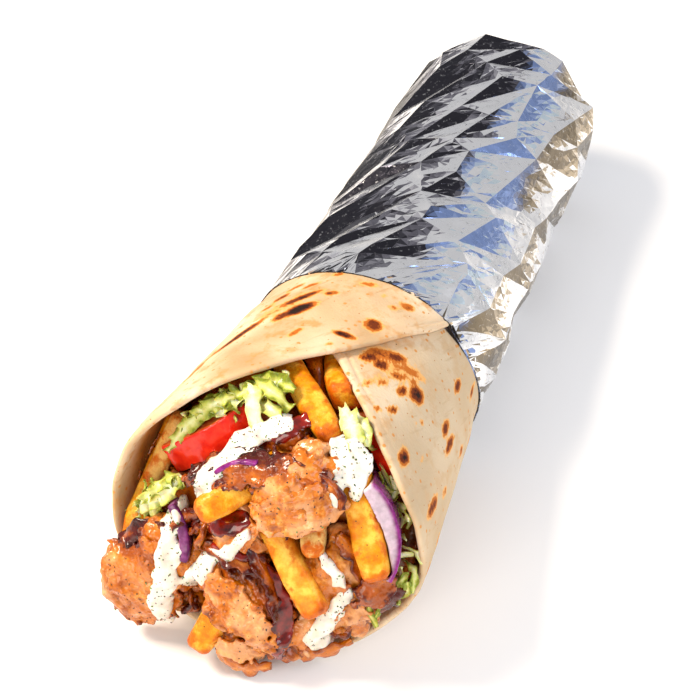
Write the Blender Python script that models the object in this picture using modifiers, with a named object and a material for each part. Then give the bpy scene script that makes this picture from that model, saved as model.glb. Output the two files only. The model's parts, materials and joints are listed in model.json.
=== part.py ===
"""A gyro wrap: a flour tortilla rolled round shaved meat, fries and salad, its closed end in foil.

It lies on its side. +Y runs from the open mouth to the foil end, +Z is up, and the floor is z = 0.
Lengths are in millimetres, as cooks and bakers give them, and MM turns them into metres.
An angle round the roll is in degrees from the top, towards +X.
"""

import math

import bmesh
import bpy
from mathutils import Matrix, Vector, noise

MM = 0.001

# The roll: half its width at stations along +Y, and its height as a share of its width.
HALF_WIDTHS = [(-120, 46), (-95, 45), (-60, 41), (-20, 37), (20, 34.5), (60, 33), (111, 32.4)]
HEIGHT_RATIO = 0.95
REST_SINK = 1.0  # the round underside is pressed flat by this much where it rests
CLEARANCE = 0.35  # gap between pieces that touch

# The tortilla: a sheet that starts under its own outer flap and goes once round and a little more.
SHEET_THICKNESS = 2.4
SHEET_START = -50
SHEET_END = 410
STEP_UP_FROM, STEP_UP_TO = 50, 130  # where the sheet rises from its inner layer to its outer one
RIM = [
    (-50, -21), (-25, -38.5), (8, -58.5), (30, -74), (50, -85), (75, -91), (107, -92),
    (125, -94), (146, -100), (165, -104), (195, -106), (225, -106), (250, -104), (270, -100),
    (290, -97), (310, -95.5), (320, -90.5), (331, -82.5), (344, -74.5), (355, -66.5),
    (368, -57.5), (387, -40.5), (397, -30), (410, -16),
]
SHEET_BACK = 100

# The foil: a thin crumpled sleeve from its torn edge to a folded round end.
FOIL_EDGE = -20
FOIL_BACK = 126
FOIL_THICKNESS = 0.8
END_ROUND_FROM = 111
FOIL_TUCK = 0.9  # how far the foil squeezes the sheet below it
TUCK_FROM, TUCK_TO = FOIL_EDGE - 16, FOIL_EDGE - 3  # where the sheet bends in and up to the foil

# The filling's front: its heap reaches furthest at the bottom and steps back under the top flap.
HEAP_FRONT = [(0, -98), (20, -103), (40, -98), (55, -91), (65, -83), (72, -72), (80, -62)]
HEAP_BACK = 98

# Colour, roughness and metallic value of each sub-part's stuff.
STUFFS = {
    "flatbread": ((0.80, 0.66, 0.45, 1), 0.75, 0.0),
    "foil": ((0.62, 0.66, 0.72, 1), 0.28, 1.0),
    "roast meat": ((0.55, 0.22, 0.08, 1), 0.45, 0.0),
    "fried potato": ((0.85, 0.48, 0.09, 1), 0.55, 0.0),
    "tomato flesh": ((0.75, 0.05, 0.01, 1), 0.25, 0.0),
    "red onion": ((0.75, 0.62, 0.70, 1), 0.35, 0.0),
    "red cabbage": ((0.25, 0.02, 0.16, 1), 0.35, 0.0),
    "lettuce leaf": ((0.60, 0.68, 0.20, 1), 0.45, 0.0),
}

OUT = Vector((0.2, -0.85, 0.49))  # the way most pieces in the mouth face


def smooth_step(value, start, end):
    share = min(1.0, max(0.0, (value - start) / (end - start)))
    return share * share * (3 - 2 * share)


def curve_value(knots, at):
    """The height at one place of a smooth curve through (place, height) knots."""
    at = min(max(at, knots[0][0]), knots[-1][0])
    index = max(i for i in range(len(knots) - 1) if knots[i][0] <= at)
    (x0, y0), (x1, y1) = knots[index], knots[index + 1]
    slopes = []
    for i in (index, index + 1):
        low, high = max(i - 1, 0), min(i + 1, len(knots) - 1)
        slopes.append((knots[high][1] - knots[low][1]) / (knots[high][0] - knots[low][0]))
    span = x1 - x0
    t = (at - x0) / span
    return (
        y0 * (2 * t**3 - 3 * t**2 + 1) + y1 * (3 * t**2 - 2 * t**3)
        + slopes[0] * span * (t**3 - 2 * t**2 + t) + slopes[1] * span * (t**3 - t**2)
    )


def half_width(y, back):
    """Half the roll's width at y, rounded off towards its closed end at back."""
    width = curve_value(HALF_WIDTHS, y)
    if y <= END_ROUND_FROM:
        return width
    reach = min(1.0, (y - END_ROUND_FROM) / (back - END_ROUND_FROM))
    return width * (1 - reach**2.4) ** (1 / 2.4)


def on_roll(angle, y, offset, floor, back=FOIL_BACK):
    """A point on the roll's skin, moved out by offset and never lower than floor."""
    wide = half_width(y, back)
    centre = curve_value(HALF_WIDTHS, min(y, END_ROUND_FROM)) * HEIGHT_RATIO - REST_SINK
    turn = math.radians(angle)
    side = max(wide + offset, 0.0)
    high = max(wide * HEIGHT_RATIO + offset, 0.0)
    return Vector((side * math.sin(turn), y, max(centre + high * math.cos(turn), floor)))


def sheet_offset(turn, y):
    """How far the sheet's outer face lies below the roll's skin."""
    under_flap = (SHEET_THICKNESS + CLEARANCE) * (1 - smooth_step(turn, STEP_UP_FROM, STEP_UP_TO))
    tucked = FOIL_TUCK * smooth_step(y, TUCK_FROM, TUCK_TO)
    return -under_flap - tucked


def sheet_floor(y):
    return (FOIL_THICKNESS + 2 * CLEARANCE) * smooth_step(y, TUCK_FROM, TUCK_TO)


def room_offset(angle, y, behind_inner_rim=True):
    """How far the sheet's inner face lies below the roll's skin, with the gap to what is inside."""
    turn = (angle - SHEET_START) % 360 + SHEET_START
    doubled = 1 - smooth_step(turn, STEP_UP_FROM, STEP_UP_TO)
    doubled = max(doubled, smooth_step(turn, 360 + SHEET_START - 24, 360 + SHEET_START - 10))
    if not behind_inner_rim:
        inner_rim = curve_value(RIM, turn if turn < 180 else SHEET_START)
        doubled *= smooth_step(y, inner_rim - 12, inner_rim - 6)
    tucked = FOIL_TUCK * smooth_step(y, TUCK_FROM, TUCK_TO)
    layers = SHEET_THICKNESS + (SHEET_THICKNESS + CLEARANCE) * doubled
    return -layers - tucked - CLEARANCE


def room_floor(y):
    return sheet_floor(y) + SHEET_THICKNESS + CLEARANCE


def rim_at(angle):
    """How far forward the tortilla reaches at an angle: the layer that reaches further counts."""
    turn = (angle - SHEET_START) % 360 + SHEET_START
    front = curve_value(RIM, turn)
    if turn + 360 <= SHEET_END:
        front = min(front, curve_value(RIM, turn + 360))
    return front


def mesh_object(name, points, faces):
    mesh = bpy.data.meshes.new(name)
    mesh.from_pydata([Vector(p) * MM for p in points], [], faces)
    made = bpy.data.objects.new(name, mesh)
    shape = bmesh.new()
    shape.from_mesh(mesh)
    bmesh.ops.recalc_face_normals(shape, faces=shape.faces)
    bmesh.ops.triangulate(shape, faces=shape.faces)
    shape.to_mesh(mesh)
    shape.free()
    return made


def grid_faces(rows, columns, first=0, closed=False):
    """Quads between rows of points, each row columns long and joined end to end if closed."""
    across = columns if closed else columns - 1
    quads = []
    for row in range(rows - 1):
        for column in range(across):
            a = first + row * columns + column
            b = first + row * columns + (column + 1) % columns
            quads.append((a, b, b + columns, a + columns))
    return quads


def finish(made, stuff, collection):
    collection.objects.link(made)
    material = bpy.data.materials.get(stuff)
    if material is None:
        material = bpy.data.materials.new(stuff)
        material.use_nodes = True
        colour, roughness, metallic = STUFFS[stuff]
        shader = material.node_tree.nodes["Principled BSDF"]
        shader.inputs["Base Color"].default_value = colour
        shader.inputs["Roughness"].default_value = roughness
        shader.inputs["Metallic"].default_value = metallic
    made.data.materials.clear()
    made.data.materials.append(material)
    made.data.shade_smooth()
    made.data.set_sharp_from_angle(angle=math.radians(50))
    return made


# ---------------------------------------------------------------- wrapper

def tortilla():
    """The rolled sheet: its outer face, its inner face, and the four cut edges between them."""
    turns, rows = 38, 10
    points = []
    for face in (0, 1):
        for row in range(rows):
            for column in range(turns):
                turn = SHEET_START + (SHEET_END - SHEET_START) * column / (turns - 1)
                front = curve_value(RIM, turn)
                share = row / (rows - 1)
                y = front + (SHEET_BACK - front) * share**1.25
                offset = sheet_offset(turn, y) - face * SHEET_THICKNESS
                floor = sheet_floor(y) + face * SHEET_THICKNESS
                points.append(on_roll(turn, y, offset, floor))
    count = turns * rows
    faces = grid_faces(rows, turns)
    faces += [tuple(reversed(quad)) for quad in grid_faces(rows, turns, count)]
    border = list(range(turns))
    border += [row * turns + turns - 1 for row in range(1, rows)]
    border += [count - 2 - column for column in range(turns - 1)]
    border += [row * turns for row in range(rows - 2, 0, -1)]
    for here, there in zip(border, border[1:] + border[:1]):
        faces.append((here, there, there + count, here + count))
    return mesh_object("tortilla", points, faces)


def foil_crumple(point):
    """How far the foil stands off its sleeve at a point: folds about 12 mm apart."""
    fold = noise.noise(Vector((point.x / 9, point.y / 16, point.z / 9)))
    return 0.5 + 0.9 * abs(fold) - 0.35 * noise.noise(point / 5)


def foil_wrap():
    """A closed sleeve: the crumpled outer face, the plain inner face and the torn edge."""
    around, rows, inner_rows = 36, 14, 7
    points = []
    for row in range(rows):
        share = row / rows
        y_even = FOIL_EDGE + (FOIL_BACK - FOIL_EDGE) * (1 - (1 - share) ** 1.3)
        for column in range(around):
            angle = 360 * column / around
            tear = 1.2 * noise.noise(Vector((column * 0.9, 0, 0))) * (1 - share) ** 8
            skin = on_roll(angle, y_even, 0, 0)
            points.append(on_roll(angle, y_even + tear, foil_crumple(skin), 0))
    points.append(Vector((0, FOIL_BACK, on_roll(0, FOIL_BACK, 0, 0).z)))
    tip = len(points) - 1
    faces = grid_faces(rows, around, closed=True)
    last = (rows - 1) * around
    faces += [(last + c, last + (c + 1) % around, tip) for c in range(around)]
    inner_back = FOIL_BACK - FOIL_THICKNESS - CLEARANCE
    first = len(points)
    for row in range(inner_rows):
        share = row / inner_rows
        y = FOIL_EDGE + (inner_back - FOIL_EDGE) * (1 - (1 - share) ** 2)
        for column in range(around):
            tear = points[column].y - FOIL_EDGE if row == 0 else 0
            angle = 360 * column / around
            points.append(on_roll(angle, y + tear, -0.3, FOIL_THICKNESS, inner_back))
    points.append(Vector((0, inner_back, points[tip].z)))
    faces += [tuple(reversed(quad)) for quad in grid_faces(inner_rows, around, first, True)]
    last = first + (inner_rows - 1) * around
    faces += [(last + (c + 1) % around, last + c, len(points) - 1) for c in range(around)]
    faces += [(c, first + c, first + (c + 1) % around, (c + 1) % around) for c in range(around)]
    return mesh_object("foil_wrap", points, faces)


# ---------------------------------------------------------------- filling

def tube_points(around, stations, front_at, behind_inner_rim, slack=0.0):
    """Rings of points inside the tortilla, from front_at(angle) back to HEAP_BACK."""
    points = []
    for row in range(stations):
        share = row / (stations - 1)
        for column in range(around):
            angle = 360 * column / around
            front = front_at(angle)
            y = front + (HEAP_BACK - front) * share**1.6
            offset = room_offset(angle, y, behind_inner_rim) - slack
            points.append(on_roll(angle, y, offset, room_floor(y) + slack))
    return points


def heap_face(x, z):
    """Where the heap's front lies, with the hills and hollows of the shavings in it."""
    lumps = 2.5 * noise.noise(Vector((x / 9, 3.0, z / 9)))
    return curve_value(HEAP_FRONT, z) + lumps


def meat_filling():
    """The packed shavings that run through the whole roll, with an uneven front."""
    around, stations, rings = 36, 5, 3

    def front_at(angle):
        edge = on_roll(angle, -80, -4, 0)
        return max(heap_face(edge.x, edge.z) + 5, rim_at(angle) + 5)

    points = tube_points(around, stations, front_at, True, 1.0)
    faces = grid_faces(stations, around, closed=True)
    faces.append(tuple((stations - 1) * around + c for c in range(around)))
    edge = points[:around]
    centre = Vector((0, 0, 38))
    first = len(points)
    for ring in range(1, rings):
        keep = 1 - ring / rings
        for point in edge:
            x = point.x * keep
            z = centre.z + (point.z - centre.z) * keep
            fade = smooth_step(keep, 0.5, 1.0)
            y = heap_face(x, z) * (1 - fade) + point.y * fade
            points.append(Vector((x, y, z)))
    points.append(Vector((0, heap_face(0, centre.z), centre.z)))
    rows = [list(range(around))]
    rows += [[first + ring * around + c for c in range(around)] for ring in range(rings - 1)]
    for outer, inner in zip(rows, rows[1:]):
        for c in range(around):
            n = (c + 1) % around
            faces.append((outer[n], outer[c], inner[c], inner[n]))
    tip = len(points) - 1
    faces += [(rows[-1][(c + 1) % around], rows[-1][c], tip) for c in range(around)]
    return mesh_object("meat_filling", points, faces)


def room():
    """The space that the filling may take: inside the tortilla, and free in front of its rim."""
    around, stations = 60, 14
    flare, reach, lowest = 40, 60, 0.4
    points = tube_points(around, stations, rim_at, False)
    for out, forward in ((0.0, CLEARANCE), (flare, CLEARANCE), (flare, reach)):
        for column in range(around):
            angle = 360 * column / around
            front = rim_at(angle)
            rim = on_roll(angle, front, room_offset(angle, front, False) + out, lowest)
            points.append(rim - Vector((0, forward, 0)))
    faces = grid_faces(stations, around, closed=True)
    order = [0, stations, stations + 1, stations + 2]
    for low, high in zip(order, order[1:]):
        for c in range(around):
            n = (c + 1) % around
            faces.append((low * around + c, low * around + n, high * around + n, high * around + c))
    faces.append(tuple((stations - 1) * around + c for c in range(around)))
    faces.append(tuple(order[-1] * around + c for c in range(around)))
    return mesh_object("room", points, faces)


def stand(made, start, end, facing):
    """Puts an object with its length along +X and its face up at +Z between two points."""
    along = (Vector(end) - Vector(start)).normalized()
    side = Vector(facing).cross(along).normalized()
    turn = Matrix((along, side, along.cross(side))).transposed()
    made.matrix_world = Matrix.Translation((Vector(start) + Vector(end)) / 2 * MM) @ turn.to_4x4()
    return made


def fry(name, back, tip, thickness=7.6, bend=1.0, facing=OUT):
    """A cut potato stick: a box with rounded edges, a slight bend and a narrower tip."""
    length = (Vector(tip) - Vector(back)).length
    shape = bmesh.new()
    bmesh.ops.create_cube(shape, size=MM)
    bmesh.ops.scale(shape, vec=(length, thickness, thickness), verts=shape.verts)
    long_edges = [e for e in shape.edges if abs(e.verts[0].co.x - e.verts[1].co.x) > MM]
    bmesh.ops.subdivide_edges(shape, edges=long_edges, cuts=3)
    for vertex in shape.verts:
        share = vertex.co.x / (length * MM)
        vertex.co.z += bend * MM * (0.25 - share * share) * 4
        vertex.co.y *= 1 + 0.06 * math.sin(9 * share + len(name))
        if share > 0.45:
            vertex.co.y *= 0.86
            vertex.co.z *= 0.9
    mesh = bpy.data.meshes.new(name)
    shape.to_mesh(mesh)
    shape.free()
    made = bpy.data.objects.new(name, mesh)
    rounding = made.modifiers.new("rounded edges", "BEVEL")
    rounding.width = 1.3 * MM
    rounding.segments = 1
    rounding.limit_method = "ANGLE"
    return stand(made, back, tip, facing)


def shaving(name, start, end, width, thickness=4.5, curl=40, facing=OUT, seed=0):
    """A slice of meat off the spit: a ragged slab, curled along its length, thin at its edges."""
    length = (Vector(end) - Vector(start)).length
    long_steps, wide_steps = 7, 4
    points = []
    for face in (1, -1):
        for i in range(long_steps):
            for j in range(wide_steps):
                u = 2 * i / (long_steps - 1) - 1
                v = 2 * j / (wide_steps - 1) - 1
                ragged = 1 + 0.14 * noise.noise(Vector((u * 2.2, v * 2.2, seed + 0.5)))
                squeeze = math.sqrt(1 - 0.45 * v * v), math.sqrt(1 - 0.5 * u * u)
                x = u * squeeze[0] * length / 2 * ragged
                y = v * squeeze[1] * width / 2 * ragged
                thick = thickness / 2 * (1 - 0.45 * max(abs(u), abs(v)) ** 3)
                bump = 0.9 * noise.noise(Vector((x / 6, y / 6, seed)))
                turn = math.radians(curl) * u
                radius = length / 2 / math.radians(curl)
                high = radius * (math.cos(turn) - 1) + bump + face * thick
                points.append(Vector((x, y, high)))
    count = long_steps * wide_steps
    faces = grid_faces(long_steps, wide_steps)
    faces += [tuple(reversed(quad)) for quad in grid_faces(long_steps, wide_steps, count)]
    border = list(range(wide_steps))
    border += [row * wide_steps + wide_steps - 1 for row in range(1, long_steps)]
    border += [count - 2 - j for j in range(wide_steps - 1)]
    border += [row * wide_steps for row in range(long_steps - 2, 0, -1)]
    for here, there in zip(border, border[1:] + border[:1]):
        faces.append((here, there, there + count, here + count))
    return stand(mesh_object(name, points, faces), start, end, facing)


def half_round(name, left, right, radius, thickness, facing):
    """Half of a round slice: its skin runs from left to right and bulges out of the mouth."""
    chord = Vector(right) - Vector(left)
    half_angle = math.asin(min(1.0, chord.length / 2 / radius))
    steps = 9
    points = []
    for level in (-0.5, 0.5):
        for step in range(steps + 1):
            turn = -half_angle + 2 * half_angle * step / steps
            points.append(Vector((radius * math.sin(turn), radius * (1 - math.cos(turn)),
                                  level * thickness)))
        depth = radius * 0.75
        points.append(Vector((chord.length * 0.32, depth, level * thickness)))
        points.append(Vector((-chord.length * 0.32, depth, level * thickness)))
    ring = steps + 3
    faces = [tuple(range(ring)), tuple(ring + i for i in range(ring))]
    faces += [(i, (i + 1) % ring, ring + (i + 1) % ring, ring + i) for i in range(ring)]
    made = mesh_object(name, points, faces)
    return stand(made, left, right, facing)


def onion_arc(name, top, low, radius, thickness, depth, facing):
    """One layer of a sliced onion: a thin curved band that stands edge out in the mouth."""
    chord = (Vector(low) - Vector(top)).length
    half_angle = math.asin(min(1.0, chord / 2 / radius))
    steps = 8
    points = []
    for level in (-0.5, 0.5):
        for side in (-0.5, 0.5):
            for step in range(steps + 1):
                turn = -half_angle + 2 * half_angle * step / steps
                taper = 1 - 0.3 * abs(2 * step / steps - 1) ** 3
                out = radius + side * thickness * taper
                points.append(Vector((out * math.sin(turn), out * math.cos(turn) - radius,
                                      level * depth)))
    row = steps + 1
    faces = []
    for a, b in ((0, 1), (1, 3), (3, 2), (2, 0)):
        faces += [(a * row + i, a * row + i + 1, b * row + i + 1, b * row + i) for i in range(steps)]
    faces += [(0, row, 3 * row, 2 * row)]
    faces += [tuple(steps + index for index in (0, 2 * row, 3 * row, row))]
    made = mesh_object(name, points, faces)
    return stand(made, top, low, facing)


def leaf_bundle(name, route, width, height, seed):
    """A bunch of shredded leaf lying along a route, out to its uneven outline."""
    around, points = 9, []
    for index, (x, y, z) in enumerate(route):
        ahead = Vector(route[min(index + 1, len(route) - 1)])
        behind = Vector(route[max(index - 1, 0)])
        along = (ahead - behind).normalized()
        side = OUT.cross(along).normalized()
        up = along.cross(side)
        ends = 0.45 if index in (0, len(route) - 1) else 1.0
        for column in range(around):
            turn = math.tau * column / around
            rough = 1 + 0.3 * noise.noise(Vector((index * 1.3, column * 1.1, seed)))
            reach = side * math.cos(turn) * width + up * math.sin(turn) * height
            points.append(Vector((x, y, z)) + reach * 0.5 * ends * rough)
    rows = len(route)
    faces = grid_faces(rows, around, closed=True)
    faces += [tuple(range(around)), tuple((rows - 1) * around + c for c in range(around))]
    return mesh_object(name, points, faces)


# ---------------------------------------------------------------- fitting the pieces together

def grown(source, amount):
    """A copy that stands proud of its source all over, to cut a seat with a gap round it."""
    bpy.context.view_layer.update()
    evaluated = source.evaluated_get(bpy.context.evaluated_depsgraph_get())
    mesh = bpy.data.meshes.new_from_object(evaluated)
    mesh.transform(source.matrix_world)
    shape = bmesh.new()
    shape.from_mesh(mesh)
    shape.normal_update()
    moves = [v.normal * min(v.calc_shell_factor(), 2.0) * amount * MM for v in shape.verts]
    for vertex, move in zip(shape.verts, moves):
        vertex.co += move
    shape.to_mesh(mesh)
    shape.free()
    copy = bpy.data.objects.new(source.name + " seat", mesh)
    copy.hide_render = True
    copy.display_type = "WIRE"
    return copy


def corners(thing):
    """The lowest and highest corner of an object, in world space."""
    places = [thing.matrix_world @ vertex.co for vertex in thing.data.vertices]
    return [[pick(p[axis] for p in places) for axis in range(3)] for pick in (min, max)]


def near(one, other):
    (low_a, high_a), (low_b, high_b) = corners(one), corners(other)
    return all(low_a[i] < high_b[i] and low_b[i] < high_a[i] for i in range(3))


def keep_largest(made):
    """Deletes every loose crumb of a cut piece, so that it stays one body."""
    shape = bmesh.new()
    shape.from_mesh(made.data)
    waiting = set(shape.faces)
    islands = []
    while waiting:
        island, border = set(), [waiting.pop()]
        while border:
            face = border.pop()
            island.add(face)
            linked = {other for edge in face.edges for other in edge.link_faces} & waiting
            waiting -= linked
            border.extend(linked)
        islands.append(island)
    islands.sort(key=lambda island: sum(face.calc_area() for face in island))
    for island in islands[:-1]:
        bmesh.ops.delete(shape, geom=list(island), context="FACES")
    flat = math.radians(1.5)
    bmesh.ops.dissolve_limit(shape, angle_limit=flat, verts=shape.verts, edges=shape.edges)
    bmesh.ops.triangulate(shape, faces=shape.faces)
    bmesh.ops.recalc_face_normals(shape, faces=shape.faces)
    shape.to_mesh(made.data)
    shape.free()


def fit(made, cutters, space=None):
    """Cuts the seats of the pieces above out of a piece, inside its space if it has one."""
    bpy.context.view_layer.update()
    trims = [("INTERSECT", space)] if space else []
    trims += [("DIFFERENCE", cutter) for cutter in cutters if near(made, cutter)]
    for operation, other in trims:
        trim = made.modifiers.new(other.name, "BOOLEAN")
        trim.operation = operation
        trim.object = other
    bpy.context.view_layer.update()
    evaluated = made.evaluated_get(bpy.context.evaluated_depsgraph_get())
    mesh = bpy.data.meshes.new_from_object(evaluated)
    made.modifiers.clear()
    made.data = mesh
    keep_largest(made)


def pieces():
    """Every separate piece in the mouth, from the topmost to the ones that give way to it."""
    up = Vector((0.1, -0.5, 0.86))
    yield fry("fry_1", (-18, -50, 65), (14, -84, 71), 7.8, 1.0, up), "fried potato"
    yield fry("fry_2", (0, -44, 61), (12, -69, 70), 9.4, 0.5, up), "fried potato"
    yield fry("fry_3", (6, -84, 64), (-16, -106, 52), 7.8, 0.8), "fried potato"
    yield fry("fry_4", (-10, -88, 56), (20, -111, 31), 7.8, 0.8), "fried potato"
    yield fry("fry_5", (18, -83, 66), (33.5, -102, 42), 8.4, 0.5), "fried potato"
    yield fry("fry_6", (2, -88, 42), (-14, -117, 8), 8.2, 0.8), "fried potato"
    yield fry("fry_7", (-34, -76, 54), (-40, -104, 26), 6.8, 1.5), "fried potato"
    yield fry("fry_8", (-31, -80, 59), (-38.5, -94, 36), 6.0, 1.5), "fried potato"
    yield fry("fry_9", (10, -84, 50), (16, -105, 48), 6.5, 0.3), "fried potato"
    slice_up = Vector((-0.51, 0.23, 0.83))
    yield half_round("tomato_1", (-31, -94, 52), (-10, -84, 67), 25, 9, slice_up), "tomato flesh"
    wedge_up = Vector((0.9, -0.1, 0.3))
    yield half_round("tomato_2", (18, -72, 69), (30, -84, 60), 15, 5, wedge_up), "tomato flesh"
    ring_face = Vector((0.35, -0.9, 0.25))
    yield onion_arc("onion_1", (28, -85, 62), (37, -96, 40), 26, 5.4, 12, ring_face), "red onion"
    yield onion_arc("onion_2", (-14, -96, 62), (-3, -93, 67), 16, 1.6, 8, OUT), "red onion"
    yield onion_arc("cabbage_1", (-25, -99, 46), (-19, -106, 32), 22, 3.0, 6, OUT), "red cabbage"
    yield shaving("meat_1", (-4, -88, 66), (7, -84, 71), 8, 7, 25, seed=1), "roast meat"
    yield shaving("meat_2", (-20, -100, 57), (17, -93, 67), 10, 5, 30, seed=2), "roast meat"
    yield shaving("meat_3", (-3, -105, 57), (20, -98, 64), 18, 6, 45, seed=3), "roast meat"
    yield shaving("meat_4", (6, -90, 67), (16, -87, 69), 9, 6, 30, seed=4), "roast meat"
    yield shaving("meat_5", (-36, -108, 33), (-31, -114, 7), 20, 6, 35, seed=5), "roast meat"
    yield shaving("meat_6", (-14, -107, 37), (10, -112, 9), 20, 6, 40, seed=6), "roast meat"
    yield shaving("meat_7", (-9, -114, 6), (3, -112, 9), 11, 7, 40, seed=7), "roast meat"
    yield shaving("meat_8", (20, -99, 52), (27, -103, 30), 14, 5, 40, seed=8), "roast meat"
    yield shaving("meat_9", (25, -101, 32), (27, -101, 14), 13, 5, 35, seed=9), "roast meat"
    yield shaving("meat_10", (28, -99, 37), (38, -98, 31), 13, 6, 30, seed=10), "roast meat"
    yield shaving("meat_11", (12, -104, 40), (19, -105, 26), 12, 5, 30, seed=11), "roast meat"
    yield shaving("meat_12", (5, -107, 17), (21, -105, 11), 15, 5, 30, seed=12), "roast meat"
    yield shaving("meat_13", (-30, -104, 42), (-20, -109, 20), 17, 6, 30, seed=13), "roast meat"
    yield shaving("meat_14", (-14, -102, 46), (4, -100, 44), 16, 6, 30, seed=14), "roast meat"
    over = [(-33, -86, 57), (-26, -83, 63), (-17, -76, 67), (-8, -69, 68), (-2, -60, 67)]
    yield leaf_bundle("lettuce_top", over, 9, 10, 1), "lettuce leaf"
    yield leaf_bundle("lettuce_left", [(-20, -91, 55), (-27, -96, 48), (-37, -98, 38)], 9, 9, 2), \
        "lettuce leaf"
    right = [(31, -72, 60), (36, -82, 50), (38, -88, 38), (34, -94, 22)]
    yield leaf_bundle("lettuce_right", right, 9, 12, 3), "lettuce leaf"
    middle = [(16, -70, 66), (17, -76, 67), (18, -82, 69)]
    yield leaf_bundle("lettuce_middle", middle, 8, 6, 4), "lettuce leaf"


def main():
    for old in list(bpy.data.objects):
        bpy.data.objects.remove(old)
    wrap = bpy.data.collections.new("gyro wrap")
    helpers = bpy.data.collections.new("cutters")
    for collection in (wrap, helpers):
        bpy.context.scene.collection.children.link(collection)
    helpers.hide_render = True
    finish(tortilla(), "flatbread", wrap)
    finish(foil_wrap(), "foil", wrap)
    space = room()
    helpers.objects.link(space)
    space.hide_render = True
    space.display_type = "WIRE"
    seats = []
    for made, stuff in pieces():
        finish(made, stuff, wrap)
        seat = grown(made, CLEARANCE)
        fit(made, seats, space)
        helpers.objects.link(seat)
        seats.append(seat)
    core = finish(meat_filling(), "roast meat", wrap)
    fit(core, seats)
    for helper in list(helpers.objects):
        bpy.data.objects.remove(helper)


main()
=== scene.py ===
# %% [markdown]
# # A gyro wrap with its end in foil
#
# A gyro is a soft flour flatbread rolled round meat shaved off a spit, fries, salad and white
# herb sauce. The cook twists one end up in foil, so that it can be held. Here it lies on its
# side, with its open mouth towards -Y.
#
# The frame below brings in the plain solids that were built first. They fix where each piece
# is and how big it is. Every step after this one swaps a plain solid for the finished thing.

# %% The frame
import json
import math

import bmesh
import bpy
import numpy as np
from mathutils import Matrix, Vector, geometry, noise
from mathutils.bvhtree import BVHTree

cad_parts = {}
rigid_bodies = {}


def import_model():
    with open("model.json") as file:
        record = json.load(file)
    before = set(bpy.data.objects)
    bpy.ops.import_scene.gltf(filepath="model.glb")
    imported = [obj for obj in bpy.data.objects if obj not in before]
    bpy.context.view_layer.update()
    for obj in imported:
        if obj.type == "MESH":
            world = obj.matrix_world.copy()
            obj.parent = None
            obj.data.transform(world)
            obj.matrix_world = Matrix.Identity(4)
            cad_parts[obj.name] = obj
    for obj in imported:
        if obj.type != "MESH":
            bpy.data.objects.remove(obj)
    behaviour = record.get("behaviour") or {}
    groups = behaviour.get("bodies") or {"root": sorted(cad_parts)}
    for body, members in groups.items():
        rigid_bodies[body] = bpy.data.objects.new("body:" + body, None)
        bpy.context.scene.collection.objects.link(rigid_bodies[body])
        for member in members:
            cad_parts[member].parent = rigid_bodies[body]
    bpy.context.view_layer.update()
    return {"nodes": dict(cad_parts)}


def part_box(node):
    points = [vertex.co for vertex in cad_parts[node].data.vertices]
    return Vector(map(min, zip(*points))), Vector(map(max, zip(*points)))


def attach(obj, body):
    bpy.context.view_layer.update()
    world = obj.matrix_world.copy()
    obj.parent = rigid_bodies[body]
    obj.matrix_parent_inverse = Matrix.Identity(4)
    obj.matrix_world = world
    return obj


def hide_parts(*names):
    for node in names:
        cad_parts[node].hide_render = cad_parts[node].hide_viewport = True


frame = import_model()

NODES = frame["nodes"]
print("plain solids in the frame:", len(NODES))

# %% [markdown]
# ## Lengths and colours
#
# A cook thinks in millimetres, and Blender in metres, so every length below is in millimetres
# and one factor turns it into metres at the end. Colours are written as the hex values of a
# paint chart. Blender mixes light and not paint, so one function turns each into linear light.

# %% Lengths and colours
MM = 0.001


def colour(hex_code):
    """A hex colour such as e9a52e as linear red, green, blue and alpha. The numbers are the
    sRGB standard's own."""
    shares = [int(hex_code[i:i + 2], 16) / 255 for i in (0, 2, 4)]
    linear = [s / 12.92 if s <= 0.04045 else ((s + 0.055) / 1.055) ** 2.4 for s in shares]
    return linear + [1.0]


def per_metre(size_mm):
    """The scale of a pattern whose marks lie this many millimetres apart."""
    return 1000 / size_mm


print("mid grey is", [round(share, 3) for share in colour("808080")[:3]], "in linear light")

# %% [markdown]
# ## Building a finish
#
# A finish is a small network: patterns feed colour, gloss and relief into one shader. One
# function adds a node with its settings and its links, and every material below calls it. An
# input may be a number, a hex colour, another node, or a node with the name of its output.

# %% Building a finish
def add(tree, kind, settings=(), stops=(), **inputs):
    """Adds a node with its own settings, its colour stops, and its inputs or links."""
    node = tree.nodes.new("ShaderNode" + kind)
    for key, value in dict(settings).items():
        setattr(node, key, value)
    for number, (place, hex_code) in enumerate(stops):
        bands = node.color_ramp.elements
        band = bands[number] if number < len(bands) else bands.new(place)
        band.position = place
        band.color = colour(hex_code)
    for key, value in inputs.items():
        name = key.replace("_", " ").strip()
        fitting = [s for s in node.inputs if s.name == name and s.enabled]
        socket = node.inputs[int(name)] if name.isdigit() else fitting[0]
        if isinstance(value, bpy.types.Node):
            value = (value, next(s.name for s in value.outputs if s.enabled))
        if isinstance(value, tuple) and isinstance(value[0], bpy.types.Node):
            output = [s for s in value[0].outputs if s.name == value[1] and s.enabled][0]
            tree.links.new(output, socket)
        else:
            socket.default_value = colour(value) if isinstance(value, str) else value
    return node


def new_finish(name):
    """An empty material, its node tree, and the place in the object."""
    material = bpy.data.materials.new(name)
    material.use_nodes = True
    tree = material.node_tree
    tree.nodes.clear()
    return material, tree, (add(tree, "TexCoord"), "Object")


def carried(tree, name):
    """A value that the mesh carries at each of its points."""
    return (add(tree, "Attribute", {"attribute_name": name}), "Fac")


print("a pattern 5 mm wide has the scale", per_metre(5))

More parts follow.
